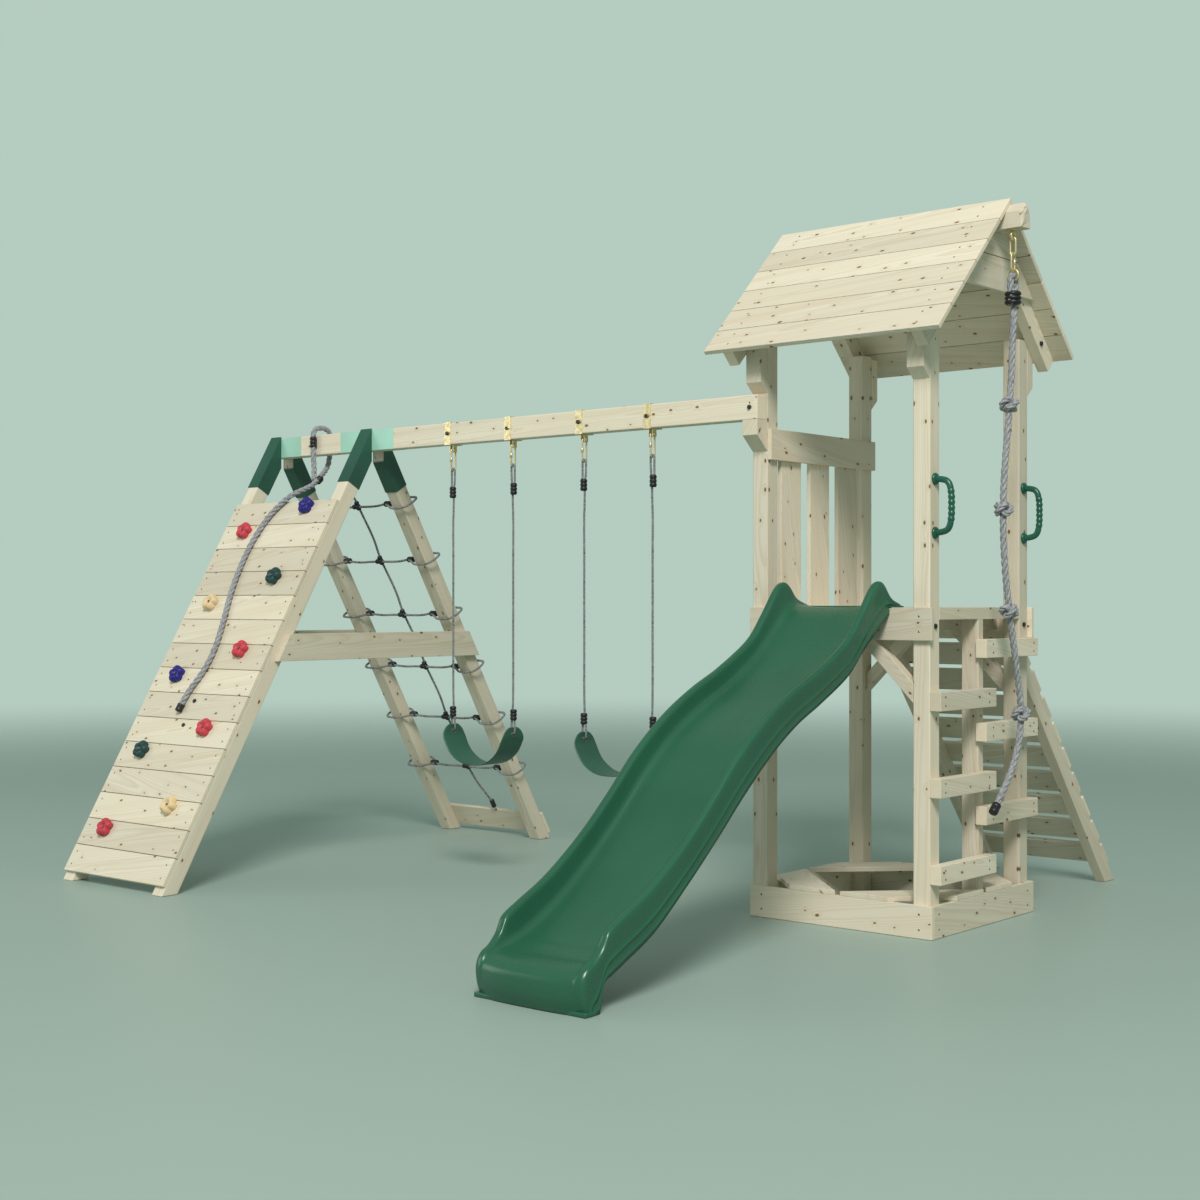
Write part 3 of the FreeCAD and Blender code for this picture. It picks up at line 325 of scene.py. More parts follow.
slide_green = plastic_finish("slide_green", (0.021, 0.108, 0.060), 0.27, 0.05, 0.06)
handle_green = plastic_finish("handle_green", (0.010, 0.095, 0.058), 0.3)
seat_green = plastic_finish("seat_green", (0.026, 0.105, 0.068), 0.42, 0.2)
black_moulding = plastic_finish("black_moulding", (0.012, 0.012, 0.013), 0.42, 0.2)
steel_green = plastic_finish("steel_green", (0.020, 0.088, 0.058), 0.38, 0.06)
steel_mint = plastic_finish("steel_mint", (0.36, 0.64, 0.52), 0.42, 0.06)
hold_finishes = {
    "red": plastic_finish("hold_red", (0.58, 0.045, 0.07), 0.55, 0.5),
    "blue": plastic_finish("hold_blue", (0.012, 0.008, 0.20), 0.5, 0.5),
    "green": plastic_finish("hold_green", (0.006, 0.045, 0.045), 0.5, 0.5),
    "cream": plastic_finish("hold_cream", (0.76, 0.56, 0.32), 0.6, 0.5),
}
zinc = zinc_finish("yellow_zinc", (0.80, 0.70, 0.44))
screw_steel = zinc_finish("screw_steel", (0.22, 0.19, 0.15))
print("finishes", len(bpy.data.materials))


# %% [markdown]
# ## Rope fibre
# Each strand of a laid rope is a bundle of fibres with a twist of its own, so its
# pattern has to follow the strand. The strands get a UV map, round and along, and
# the finish draws slanting fibres in it, with a few darker flecks.


# %% The rope finish
def rope_finish(name, light, dark, fleck):
    f = Finish(name)
    around, along, _ = f.split(f.coordinate("UV"))
    slant = f.join(around * 9.0 + along * 90.0, along * 60.0, 0.0)
    fibre = f.noise(slant, 1.0, 2.0)
    patch = f.noise(f.join(around * 2.0, along * 160.0, 3.0), 1.0, 1.0)
    colour = f.mix(f.ease(fibre, 0.3, 0.7), dark, light)
    colour = f.mix(f.ease(patch, 0.55, 0.72) * fleck, colour,
                   rgb(*(c * 0.25 for c in dark[:3])))
    return f.surface(Base_Color=colour, Roughness=fibre * 0.15 + 0.68,
                     Normal=f.bump(fibre, 0.5, 0.0008))


thick_fibre = rope_finish("thick_fibre", rgb(0.42, 0.42, 0.44), rgb(0.20, 0.20, 0.22), 0.1)
thin_fibre = rope_finish("thin_fibre", rgb(0.36, 0.37, 0.36), rgb(0.11, 0.12, 0.12), 0.75)

# %% [markdown]
# ## Ropes first
# A rope is one smooth line, given by a few points that it is drawn towards, and
# three strands that wind round that line. The line is a NURBS curve of order
# three, read back as points. The strands are tubes whose centres turn about it.


# %% A smooth line through a route
def smooth_line(route, spacing):
    """Even points along the NURBS line that the route's points control."""
    curve = bpy.data.curves.new("route", "CURVE")
    curve.dimensions = "3D"
    curve.resolution_u = 16
    spline = curve.splines.new("NURBS")
    spline.points.add(len(route) - 1)
    for point, place in zip(spline.points, route):
        point.co = (*place, 1.0)
    spline.order_u = 3
    spline.use_endpoint_u = True
    holder = bpy.data.objects.new("route", curve)
    mesh = bpy.data.meshes.new_from_object(holder)
    points = np.array([v.co for v in mesh.vertices])
    bpy.data.objects.remove(holder)
    bpy.data.meshes.remove(mesh)
    bpy.data.curves.remove(curve)
    return evened(points, spacing)


def reach_along(points):
    """How far along the line each of its points is."""
    return np.concatenate([[0.0], np.cumsum(np.linalg.norm(np.diff(points, axis=0), axis=1))])


def aims_along(points):
    """The way the line runs at each of its points."""
    aims = np.gradient(points, axis=0)
    return aims / np.linalg.norm(aims, axis=1)[:, None]


def evened(points, spacing):
    """The same line with its points a set distance apart."""
    reach = reach_along(points)
    count = max(3, int(round(reach[-1] / spacing)) + 1)
    wanted = np.linspace(0.0, reach[-1], count)
    return np.stack([np.interp(wanted, reach, points[:, k]) for k in range(3)], axis=1)


def line_length(points):
    return float(np.linalg.norm(np.diff(points, axis=0), axis=1).sum())


def carried_frames(points):
    """A side and an up direction at each point, carried along without twist."""
    aims = aims_along(points)
    start = np.array([0.31, 0.85, 0.42])
    side = start - aims[0] * start.dot(aims[0])
    sides = []
    for aim in aims:
        side = side - aim * side.dot(aim)
        side /= np.linalg.norm(side)
        sides.append(side)
    sides = np.array(sides)
    return sides, np.cross(aims, sides)


# %% Tubes with their own UV map
def ring_faces(rings, sides):
    """Faces between rings of corners, and a flat face at each end."""
    faces = [(i * sides + j, i * sides + (j + 1) % sides, (i + 1) * sides + (j + 1) % sides,
              (i + 1) * sides + j) for i in range(rings - 1) for j in range(sides)]
    return faces + [tuple(range(sides))[::-1],
                    tuple((rings - 1) * sides + j for j in range(sides))]


def tube_data(points, radius, sides):
    """Corners, faces and UVs of a tube; radius may differ from point to point."""
    side, up = carried_frames(points)
    count = len(points)
    angles = np.arange(sides) * 2 * math.pi / sides
    radii = np.broadcast_to(np.asarray(radius, float), (count,))
    ring = (side[:, None, :] * np.cos(angles)[None, :, None]
            + up[:, None, :] * np.sin(angles)[None, :, None])
    corners = (points[:, None, :] + ring * radii[:, None, None]).reshape(-1, 3)
    steps = reach_along(points)
    uvs = []
    for i in range(count - 1):
        for j in range(sides):
            uvs += [(j / sides, steps[i]), ((j + 1) / sides, steps[i]),
                    ((j + 1) / sides, steps[i + 1]), (j / sides, steps[i + 1])]
    uvs += [(j / sides, 0.0) for j in range(sides)] * 2
    return corners, ring_faces(count, sides), uvs


def piece_from(name, parts, material, smooth=True):
    """One object from several lots of corners, faces and UVs."""
    corners, faces, uvs = [], [], []
    for more_corners, more_faces, more_uvs in parts:
        start = len(corners)
        corners += [tuple(c) for c in more_corners]
        faces += [tuple(start + i for i in face) for face in more_faces]
        uvs += more_uvs
    mesh = bpy.data.meshes.new(name)
    mesh.from_pydata(corners, [], faces)
    if uvs:
        layer = mesh.uv_layers.new(name="UVMap")
        layer.data.foreach_set("uv", np.array(uvs, dtype=np.float32).ravel())
    mesh.polygons.foreach_set("use_smooth", [smooth] * len(faces))
    mesh.materials.append(material)
    return placed(name, mesh)


# %% Three strands round a line
def laid_parts(points, diameter, lay, sides=8):
    """The strands of a laid rope; lay is the length of one full turn."""
    side, up = carried_frames(points)
    steps = reach_along(points)
    parts = []
    for strand in range(3):
        turn = steps * 2 * math.pi / lay + strand * 2 * math.pi / 3
        offset = side * np.cos(turn)[:, None] + up * np.sin(turn)[:, None]
        parts.append(tube_data(points + offset * diameter * 0.245, diameter * 0.262, sides))
    return parts


def rope(name, route, diameter, body, replaced, material, spacing,
         sides=8):
    """A laid rope along a route."""
    line = smooth_line(route, spacing)
    obj = dress(piece_from(name, laid_parts(line, diameter, diameter * 3.6, sides), material),
                body, replaced)
    return obj, line


# %% [markdown]
# ## The swing ropes
# Each rope of a swing goes up to its hook, round it and back to a clamp, and at
# the seat it goes through an eyelet and back to a second clamp. It is pulled
# straight in between by the seat's weight.

# %% Four swing ropes
SWING_ROPE = 0.010
PIN_HEIGHT = 1.901
HOOK_BOTTOM = 1.8093
TURN_TOP = HOOK_BOTTOM + 0.0093
SEAT_TURN = 0.650
SWINGS = {"swing_1": -2.229, "swing_2": -1.455}
HALF_SEAT = 0.183
SWING_ROUTE = [
    (0.009, 1.690), (0.010, 1.722), (0.0094, 1.760), (0.0096, TURN_TOP - 0.022),
    (0.0096, TURN_TOP), (-0.0096, TURN_TOP), (-0.0096, TURN_TOP - 0.022),
    (-0.009, 1.760), (-0.003, 1.715), (-0.002, 1.640), (0.0015, 1.560), (0.0, 1.420),
    (0.0006, 1.250), (0.0, 1.080), (0.0006, 0.930), (0.0, 0.800), (-0.003, 0.745),
    (-0.009, 0.700), (-0.0094, 0.676), (-0.0094, SEAT_TURN), (0.0094, SEAT_TURN),
    (0.0094, 0.676), (0.0088, 0.702), (0.0066, 0.722),
]
for swing, middle in SWINGS.items():
    for side_name, side in (("left", -1), ("right", 1)):
        x = middle + side * HALF_SEAT
        route = [at(x + dx * side, BEAM_Y, z) for dx, z in SWING_ROUTE]
        obj, line = rope(f"{swing}_rope_{side_name}_laid", route, SWING_ROPE, swing,
                         f"{swing}_rope_{side_name}", thin_fibre, 0.003,
                         sides=6)
    print(swing, "rope", round(line_length(line), 3), "m each")

# %% [markdown]
# ## The climbing rope
# This one is thick, and its weight and its knots leave it in a lazy curve. A loop
# at the top goes through a steel ring, and a sleeve of three black rings holds it.

# %% The hanging rope
ROPE_X = 0.115
ROPE_Y = 0.400
THICK_ROPE = 0.026
HANG_ROUTE = [
    (-0.015, 2.330), (-0.0155, 2.372), (-0.020, 2.395), (-0.020, 2.4355), (0.020, 2.4355),
    (0.020, 2.395), (0.015, 2.372), (0.012, 2.325), (0.002, 2.262), (-0.005, 2.150),
    (-0.014, 2.050), (-0.027, 1.955), (-0.046, 1.830), (-0.068, 1.700), (-0.080, 1.565),
    (-0.074, 1.430), (-0.056, 1.300), (-0.030, 1.187), (0.002, 1.070), (0.034, 0.960),
    (0.057, 0.870), (0.066, 0.790), (0.052, 0.700), (0.010, 0.615), (-0.052, 0.545),
    (-0.110, 0.490), (-0.152, 0.452),
]


def lathe(centre, axis, profile, sides=32):
    """A turned piece: profile gives radius and height along the axis."""
    axis = Vector(axis).normalized()
    side = axis.orthogonal().normalized()
    up = axis.cross(side)
    corners = []
    for radius, height in profile:
        for k in range(sides):
            angle = 2 * math.pi * k / sides
            corners.append(Vector(centre) + axis * height
                           + (side * math.cos(angle) + up * math.sin(angle)) * radius)
    return corners, ring_faces(len(profile), sides), []


def black_piece(name, parts, body, node):
    """Turned pieces of black plastic, as one piece."""
    return dress(piece_from(name, parts, black_moulding), body, node)


def ringed_profile(radius, length):
    """Three round bands on a sleeve."""
    profile = [(radius * 0.62, -length / 2), (radius * 0.80, -length / 2)]
    for k in (-1, 0, 1):
        middle = k * length * 0.32
        for turn in range(7):
            angle = math.pi * turn / 6
            profile.append((radius * (0.82 + 0.18 * math.sin(angle)),
                            middle - math.cos(angle) * length * 0.135))
    profile += [(radius * 0.80, length / 2), (radius * 0.62, length / 2)]
    return profile


def cap_profile(radius, length):
    """A round-ended cap, open end first."""
    return [(radius * 0.8, 0.0), (radius, 0.0008), (radius, length * 0.28),
            (radius * 0.93, length * 0.32), (radius * 0.93, length * 0.38),
            (radius, length * 0.42), (radius, length * 0.86),
            (radius * 0.9, length * 0.95), (radius * 0.55, length)]


hang_points = [at(ROPE_X, ROPE_Y + dy, z) for dy, z in HANG_ROUTE]
hang_aim = (hang_points[-1] - hang_points[-2]).normalized()
end_cap, top_sleeve = (
    black_piece(name, [lathe(place, aim, profile)], "climbing_rope", "climbing_rope_clamps")
    for name, place, aim, profile in (
        ("climbing_rope_end_cap", hang_points[-1] - hang_aim * 0.034, hang_aim,
         cap_profile(0.017, 0.044)),
        ("climbing_rope_sleeve", at(ROPE_X, ROPE_Y, 2.354), (0, 0, 1),
         ringed_profile(0.031, 0.050))))
hang_rope, hang_line = rope("climbing_rope_laid", hang_points, THICK_ROPE, "climbing_rope",
                            "climbing_rope", thick_fibre, 0.005,
                            sides=10)
print("climbing rope", round(line_length(hang_line), 3), "m")


# %% [markdown]
# ## Knots
# An overhand knot pulled tight looks like a trefoil: the rope goes three times
# round a small ring. A closed trefoil of the same laid rope, a little thinner
# because it is squeezed, sits round the rope wherever a knot is tied.


# %% Four tight knots
def knot_parts(centre, axis, turn):
    axis = Vector(axis).normalized()
    side = axis.orthogonal().normalized()
    up = axis.cross(side)
    side, up = (side * math.cos(turn) + up * math.sin(turn),
                up * math.cos(turn) - side * math.sin(turn))
    points = []
    for k in range(141):
        t = 2 * math.pi * k / 140
        reach = 0.0190 + 0.0088 * math.cos(3 * t)
        lift = 0.0165 * math.sin(3 * t)
        points.append(centre + side * reach * math.cos(2 * t)
                      + up * reach * math.sin(2 * t) + axis * lift)
    return laid_parts(np.array(points), 0.0235, 0.0235 * 3.2, 8)


KNOTS = [(-0.027, 1.955), (-0.080, 1.565), (-0.030, 1.187), (0.066, 0.800)]
for k, (dy, z) in enumerate(KNOTS):
    spot = at(ROPE_X, ROPE_Y + dy, z)
    nearest = int(np.argmin(np.linalg.norm(hang_line - np.array(spot), axis=1)))
    aim = hang_line[nearest + 2] - hang_line[nearest - 2]
    obj = piece_from(f"climbing_knot_{k + 1}", knot_parts(Vector(hang_line[nearest]), aim, k * 1.3),
                     thick_fibre)
    dress(obj, "climbing_rope", "climbing_rope_knots")
print("knots", len(KNOTS))

# %% [markdown]
# ## The rope on the climbing wall
# It is tied over the beam in one loose loop and then lies down the boards, so
# most of its route is given by how high it is on the sloping wall.

# %% The wall rope
LEAN = math.radians(30)
SPREAD = 1.205  # from the beam's middle line to each foot
WALL_FOOT = BEAM_Y - SPREAD
BOARD = 0.018


def on_wall(x, z, lift):
    """A point at a height on the front wall's face, lifted off the boards."""
    reach = (BOARD + lift) / math.cos(LEAN)
    return at(x, WALL_FOOT - reach + z * math.tan(LEAN), z)


def by_beam(x, across, z):
    return at(x, BEAM_Y + across, z)


WALL_ROUTE = [
    by_beam(-3.262, -0.084, 1.800), by_beam(-3.280, -0.066, 1.850),
    by_beam(-3.296, -0.058, 1.905), by_beam(-3.302, -0.054, 1.975),
    by_beam(-3.302, -0.054, 2.056), by_beam(-3.304, 0.054, 2.056),
    by_beam(-3.310, 0.056, 1.970), by_beam(-3.306, 0.050, 1.895),
    by_beam(-3.290, 0.012, 1.852), by_beam(-3.262, -0.036, 1.826),
    by_beam(-3.232, -0.086, 1.800), by_beam(-3.200, -0.150, 1.765),
    on_wall(-3.205, 1.726, 0.022), on_wall(-3.262, 1.694, 0.016),
    on_wall(-3.322, 1.625, 0.015), on_wall(-3.358, 1.520, 0.015),
    on_wall(-3.362, 1.400, 0.015), on_wall(-3.344, 1.275, 0.015),
    on_wall(-3.300, 1.145, 0.015), on_wall(-3.264, 1.015, 0.015),
    on_wall(-3.272, 0.905, 0.015), on_wall(-3.318, 0.815, 0.016),
    on_wall(-3.320, 0.742, 0.017),
]
wall_aim = (WALL_ROUTE[-1] - WALL_ROUTE[-2]).normalized()
tie_aim = Vector((0.030, -0.064, -0.035)).normalized()
wall_cap = black_piece("wall_rope_end_cap", [
    lathe(WALL_ROUTE[-1] - wall_aim * 0.026, wall_aim, cap_profile(0.0155, 0.036))],
    "frame", "wall_rope_clamps")
wall_sleeve = black_piece("wall_rope_sleeves", [
    lathe(by_beam(-3.302, -0.054, 1.985), (0, 0, 1), ringed_profile(0.017, 0.052)),
    lathe(by_beam(-3.240, -0.062, 1.809) + tie_aim * 0.020, tie_aim,
          ringed_profile(0.017, 0.040))], "frame", "wall_rope_clamps")
wall_rope, wall_line = rope("wall_rope_laid", WALL_ROUTE, THICK_ROPE, "frame", "wall_rope",
                            thick_fibre, 0.005,
                            sides=10)
print("wall rope", round(line_length(wall_line), 3), "m")

# %% [markdown]
# ## The rope net
# Six thin ropes cross between the rear legs. Each goes right round both legs and
# back to a clamp, and a seventh rope runs down the middle through all of them.

# %% Seven net ropes
NET_ROPE = 0.012
far_leg_low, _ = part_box("leg_rear_far")
_, near_leg_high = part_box("leg_rear_near")
NET_X = (far_leg_low[0] + near_leg_high[0]) / 2 - CORNER.x
LEG_REACH = (near_leg_high[0] - far_leg_low[0]) / 2
LEG = 0.070
NET_MIDDLE = BEAM_Y + SPREAD - LEG / math.cos(LEAN) / 2
UP_SLOPE = Vector((0, -math.sin(LEAN), math.cos(LEAN)))
OFF_SLOPE = Vector((0, math.cos(LEAN), math.sin(LEAN)))
NET_LEVELS = [0.435 + 0.304 * k for k in range(6)]


def on_net(x, off, distance):
    """A point of the net's plane: along the beam, out of the plane, up the slope."""
    return at(NET_X + x, NET_MIDDLE, 0) + OFF_SLOPE * off + UP_SLOPE * distance


HALF_ROPE = [
    (LEG_REACH - 0.143, -0.0065, 0.000), (LEG_REACH - 0.112, -0.018, -0.001),
    (LEG_REACH - 0.072, -0.047, -0.003), (LEG_REACH - 0.020, -0.052, -0.004),
    (LEG_REACH + 0.042, -0.044, 0.000), (LEG_REACH + 0.043, 0.044, 0.004),
    (LEG_REACH - 0.020, 0.052, 0.004), (LEG_REACH - 0.072, 0.047, 0.002),
    (LEG_REACH - 0.112, 0.018, 0.000), (LEG_REACH - 0.148, 0.0062, -0.002),
    (LEG_REACH - 0.220, 0.001, -0.013), (0.050, -0.002, -0.010),
]
for k, level in enumerate(NET_LEVELS):
    route = [on_net(x, off, level + up) for x, off, up in HALF_ROPE]
    route += [on_net(-x, -off, level + up) for x, off, up in HALF_ROPE[::-1]]
    obj, line = rope(f"net_cross_rope_{k + 1}", route, NET_ROPE, "frame", "net_cross_ropes",
                     thin_fibre, 0.003, sides=6)
print("cross rope", round(line_length(line), 3), "m each")
CENTRE_ROUTE = [(0.054, 0.0, 2.127), (0.040, -0.012, 2.082), (0.014, -0.009, 2.020)]
for level in NET_LEVELS[::-1]:
    CENTRE_ROUTE += [(0.0, 0.012, level + 0.020), (0.002, 0.012, level - 0.050),
                     (0.014, 0.010, level - 0.150), (0.013, 0.010, level - 0.215)]
CENTRE_ROUTE = CENTRE_ROUTE[:-2]
CENTRE_ROUTE += [(0.018, 0.013, 0.310), (0.038, 0.022, 0.235), (0.044, 0.030, 0.190)]
obj, line = rope("net_centre_rope_laid", [on_net(*p) for p in CENTRE_ROUTE], NET_ROPE, "frame",
                 "net_centre_rope", thin_fibre, 0.003, sides=6)
print("centre rope", round(line_length(line), 3), "m")

# %% Clamps of the net and of the swings
X, Y, Z = Vector((1, 0, 0)), Vector((0, 1, 0)), Vector((0, 0, 1))


def net_clamp(place, axis, radius):
    return lathe(place, axis, ringed_profile(radius, 0.044), 20)


net_clamp_parts = []
for level in NET_LEVELS:
    for side in (-1, 1):
        net_clamp_parts.append(net_clamp(
            on_net(side * (LEG_REACH - 0.130), 0, level - 0.002), X, 0.0145))
    net_clamp_parts += [net_clamp(on_net(0, 0, level - 0.009), X, 0.0125),
                        net_clamp(on_net(0, 0.010, level - 0.008), UP_SLOPE, 0.0125)]
net_clamp_parts.append(net_clamp(on_net(0.044, 0.032, 0.172), UP_SLOPE, 0.013))
black_piece("net_connectors", net_clamp_parts, "frame", "net_clamps")
for swing, middle in SWINGS.items():
    black_piece(f"{swing}_sleeves", [
        lathe(at(middle + side * (HALF_SEAT + off), BEAM_Y, z), Z, ringed_profile(0.015, long), 24)
        for side in (-1, 1) for off, z, long in ((0.003, 1.712, 0.050), (0.002, 0.731, 0.047))],
        swing, f"{swing}_clamps")
print("net connectors", len(net_clamp_parts))

# %% [markdown]
# ## Boards with rounded edges
# The frame's timbers are sharp boxes made of loose triangles. A copy is merged,
# parted into its single boards, and each board gets slightly rounded edges and the
# three attributes that the pine finish reads. Boards that only share an edge must
# not be joined, so parting follows edges that have exactly two faces.


# %% Parting a node into its boards
def boards_of(node):
    """Each closed board of a node as lists of corners and faces."""
    bm = bmesh.new()
    bm.from_mesh(nodes[node].data)
    bmesh.ops.remove_doubles(bm, verts=bm.verts, dist=1e-5)
    bm.faces.ensure_lookup_table()
    seen = set()
    found = []
    for first in bm.faces:
        if first.index in seen:
            continue
        seen.add(first.index)
        stack, lot = [first], []
        while stack:
            face = stack.pop()
            lot.append(face)
            for edge in face.edges:
                if len(edge.link_faces) != 2:
                    continue
                for other in edge.link_faces:
                    if other.index not in seen:
                        seen.add(other.index)
                        stack.append(other)
        index = {}
        for face in lot:
            for vert in face.verts:
                index.setdefault(vert, len(index))
        found.append(([v.co.copy() for v in index],
                      [[index[v] for v in face.verts] for face in lot]))
    bm.free()
    return found


# %% Rounding a board and laying its grain
def lot_of(bm):
    """The bmesh as corners and faces; the bmesh is then freed."""
    bm.verts.index_update()
    lot = ([tuple(v.co) for v in bm.verts],
           [tuple(v.index for v in f.verts) for f in bm.faces], [])
    bm.free()
    return lot


def rounded_board(corners, faces, width, end_reach=0.0):
    """A bmesh of one board, its flat faces whole and its edges rounded."""
    bm = bmesh.new()
    verts = [bm.verts.new(c) for c in corners]
    for face in faces:
        bm.faces.new([verts[i] for i in face])
    bmesh.ops.dissolve_limit(bm, angle_limit=math.radians(1), verts=bm.verts, edges=bm.edges)
    if end_reach:
        rounded_end(bm, end_reach)
    sharp = [e for e in bm.edges if e.is_manifold and e.calc_face_angle(0) > math.radians(20)]
    longest = max(bm.edges, key=lambda e: e.calc_length())
    axis = (longest.verts[1].co - longest.verts[0].co).normalized()
    if width > 0:
        bmesh.ops.bevel(bm, geom=sharp, offset=width, segments=2, profile=0.6,
                        affect="EDGES", clamp_overlap=True)
    bm.normal_update()
    return bm, axis


def grain_of(bm, axis, rng):
    """Per-corner grain coordinates, and which corners are on an end."""
    points = np.array([v.co for v in bm.verts])
    middle = (points.max(0) + points.min(0)) / 2
    axis = np.array(axis)
    faces = sorted(bm.faces, key=lambda f: -f.calc_area())
    flat = next((np.array(f.normal) for f in faces if abs(np.array(f.normal).dot(axis)) < 0.2),
                np.array([0.0, 0.0, 1.0]))
    flat = flat - axis * flat.dot(axis)
    flat /= np.linalg.norm(flat)
    cross = np.cross(axis, flat)
    local = np.stack([(points - middle) @ axis, (points - middle) @ cross,
                      (points - middle) @ flat], axis=1)
    local += [rng.uniform(0, 40), rng.uniform(-0.05, 0.05),
              rng.choice([-1, 1]) * rng.uniform(0.035, 0.11)]
    end = np.zeros(len(points))
    for face in bm.faces:
        if abs(np.array(face.normal).dot(axis)) > 0.9:
            for vert in face.verts:
                end[vert.index] = 1.0
    return local, end


def rounded_end(bm, reach):
    """Rounds the upper edges of a beam's right end."""
    right = max(v.co.x for v in bm.verts)
    low = min(v.co.z for v in bm.verts)
    edges = [e for e in bm.edges if all(v.co.x > right - 1e-4 for v in e.verts)
             and sum(v.co.z for v in e.verts) / 2 > low + 0.02]
    bmesh.ops.bevel(bm, geom=edges, offset=reach, segments=6, profile=0.5,
                    affect="EDGES", clamp_overlap=True)


def timber(node, width):
    """The node's boards as one finished piece of pine."""
    rng = random.Random(node)
    parts, grain, ends, tones = [], [], [], []
    for corners, faces in boards_of(node):
        bm, axis = rounded_board(corners, faces, width, 0.022 if node == "ridge_beam" else 0.0)
        bm.verts.index_update()
        local, end = grain_of(bm, axis, rng)
        parts.append(lot_of(bm))
        grain += local.tolist()
        ends += end.tolist()
        tones += [rng.random()] * len(end)
    obj = piece_from(node + "_pine", parts, pine, smooth=False)
    for name, kind, field, values in (("grain", "FLOAT_VECTOR", "vector", grain),
                                      ("end", "FLOAT", "value", ends),
                                      ("tone", "FLOAT", "value", tones)):
        obj.data.attributes.new(name, kind, "POINT").data.foreach_set(
            field, np.array(values, dtype=np.float32).ravel())
    return dress(obj, "frame", node)


PINE_NODES = [entry["node"] for entry in frame["record"]["subparts"]
              if entry["material_slot"] == "pine"]
total = 0
for node in PINE_NODES:
    wide = 0.004 if node.startswith(("post", "leg", "swing_beam", "ridge")) else 0.0022
    total += len(timber(node, wide).data.polygons)
print("pine pieces", len(PINE_NODES), "faces", total)

# %% [markdown]
# ## Screws and nails
# A board is held by two fixings at each support. Geometry Nodes sets one head on
# every given spot, turned to the way the board faces, and the result is kept as a
# plain mesh.


# %% Heads set out by Geometry Nodes
def head_nodes(name, corners, top, depth):
    """A node group that sets one turned head on every point of a mesh."""
    group = bpy.data.node_groups.new(name, "GeometryNodeTree")
    face = group.interface
    face.new_socket("Geometry", in_out="INPUT", socket_type="NodeSocketGeometry")
    face.new_socket("Radius", in_out="INPUT", socket_type="NodeSocketFloat")
    face.new_socket("Finish", in_out="INPUT", socket_type="NodeSocketMaterial")
    face.new_socket("Geometry", in_out="OUTPUT", socket_type="NodeSocketGeometry")
    add = group.nodes.new
    start, end = add("NodeGroupInput"), add("NodeGroupOutput")
    points, head = add("GeometryNodeMeshToPoints"), add("GeometryNodeMeshCone")
    head.inputs["Vertices"].default_value = corners
    head.inputs["Radius Top"].default_value = top
    head.inputs["Radius Bottom"].default_value = 1.0
    head.inputs["Depth"].default_value = depth
    aim, turn = add("GeometryNodeInputNamedAttribute"), add("FunctionNodeAlignRotationToVector")
    aim.data_type = "FLOAT_VECTOR"
    aim.inputs["Name"].default_value = "aim"
    turn.axis = "Z"
    vary = add("FunctionNodeRandomValue")
    vary.inputs[2].default_value = 0.94
    vary.inputs[3].default_value = 1.04
    vary.inputs["Seed"].default_value = 7
    scale = add("ShaderNodeMath")
    scale.operation = "MULTIPLY"
    place, real = add("GeometryNodeInstanceOnPoints"), add("GeometryNodeRealizeInstances")
    paint = add("GeometryNodeSetMaterial")
    link = group.links.new
    link(start.outputs["Geometry"], points.inputs["Mesh"])
    link(points.outputs[0], place.inputs["Points"])
    link(head.outputs["Mesh"], place.inputs["Instance"])
    link(aim.outputs["Attribute"], turn.inputs["Vector"])
    link(turn.outputs[0], place.inputs["Rotation"])
    link(start.outputs["Radius"], scale.inputs[0])
    link(vary.outputs[1], scale.inputs[1])
    link(scale.outputs[0], place.inputs["Scale"])
    link(place.outputs[0], real.inputs[0])
    link(real.outputs[0], paint.inputs["Geometry"])
    link(start.outputs["Finish"], paint.inputs["Material"])
    link(paint.outputs[0], end.inputs[0])
    return group


def heads(name, group, spots, radius, finish):
    """One head on each (point, facing), kept as a plain mesh."""
    mesh = bpy.data.meshes.new(name + "_spots")
    mesh.from_pydata([tuple(p) for p, _ in spots], [], [])
    mesh.attributes.new("aim", "FLOAT_VECTOR", "POINT").data.foreach_set(
        "vector", np.array([tuple(a) for _, a in spots], dtype=np.float32).ravel())
    holder = placed(name + "_spots", mesh)
    modifier = holder.modifiers.new("heads", "NODES")
    modifier.node_group = group
    inputs = {s.name: s.identifier for s in group.interface.items_tree
              if s.in_out == "INPUT"}
    modifier[inputs["Radius"]] = radius
    modifier[inputs["Finish"]] = finish
    bpy.context.view_layer.update()
    ready = holder.evaluated_get(bpy.context.evaluated_depsgraph_get())
    kept = bpy.data.meshes.new_from_object(ready)
    kept.name = name
    bpy.data.objects.remove(holder)
    if not kept.materials:
        kept.materials.append(finish)
    obj = placed(name, kept)
    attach(obj, "frame")
    return obj


# %% Where the fixings go
C45 = math.sqrt(0.5)
REAR_LEAN = math.radians(40)
REAR_FOOT = 1.770
TOWER_DEPTH = 0.800
PITCH = 0.540 / C45 / 6
spots = []
for k in range(6):
    for off in (-0.030, 0.030):
        s = (k + 0.5) * PITCH + 0.0015 + off
        for x in (0.0045, -0.8225):
            spots.append((at(x, -0.140 + s * C45, 2.190 + s * C45), (0, -C45, C45)))
            if k < 5 or off < 0:
                spots.append((at(x, 0.940 - s * C45, 2.190 + s * C45), (0, C45, C45)))
for k in range(15):
    for off in (0.032, 0.092):
        d = 0.040 + 0.127 * k + off
        for x in (-2.945, -3.595):
            spots.append((at(x, WALL_FOOT + d * math.sin(LEAN) - BOARD * math.cos(LEAN),
                             d * math.cos(LEAN) + BOARD * math.sin(LEAN)),
                          (0, -math.cos(LEAN), math.sin(LEAN))))
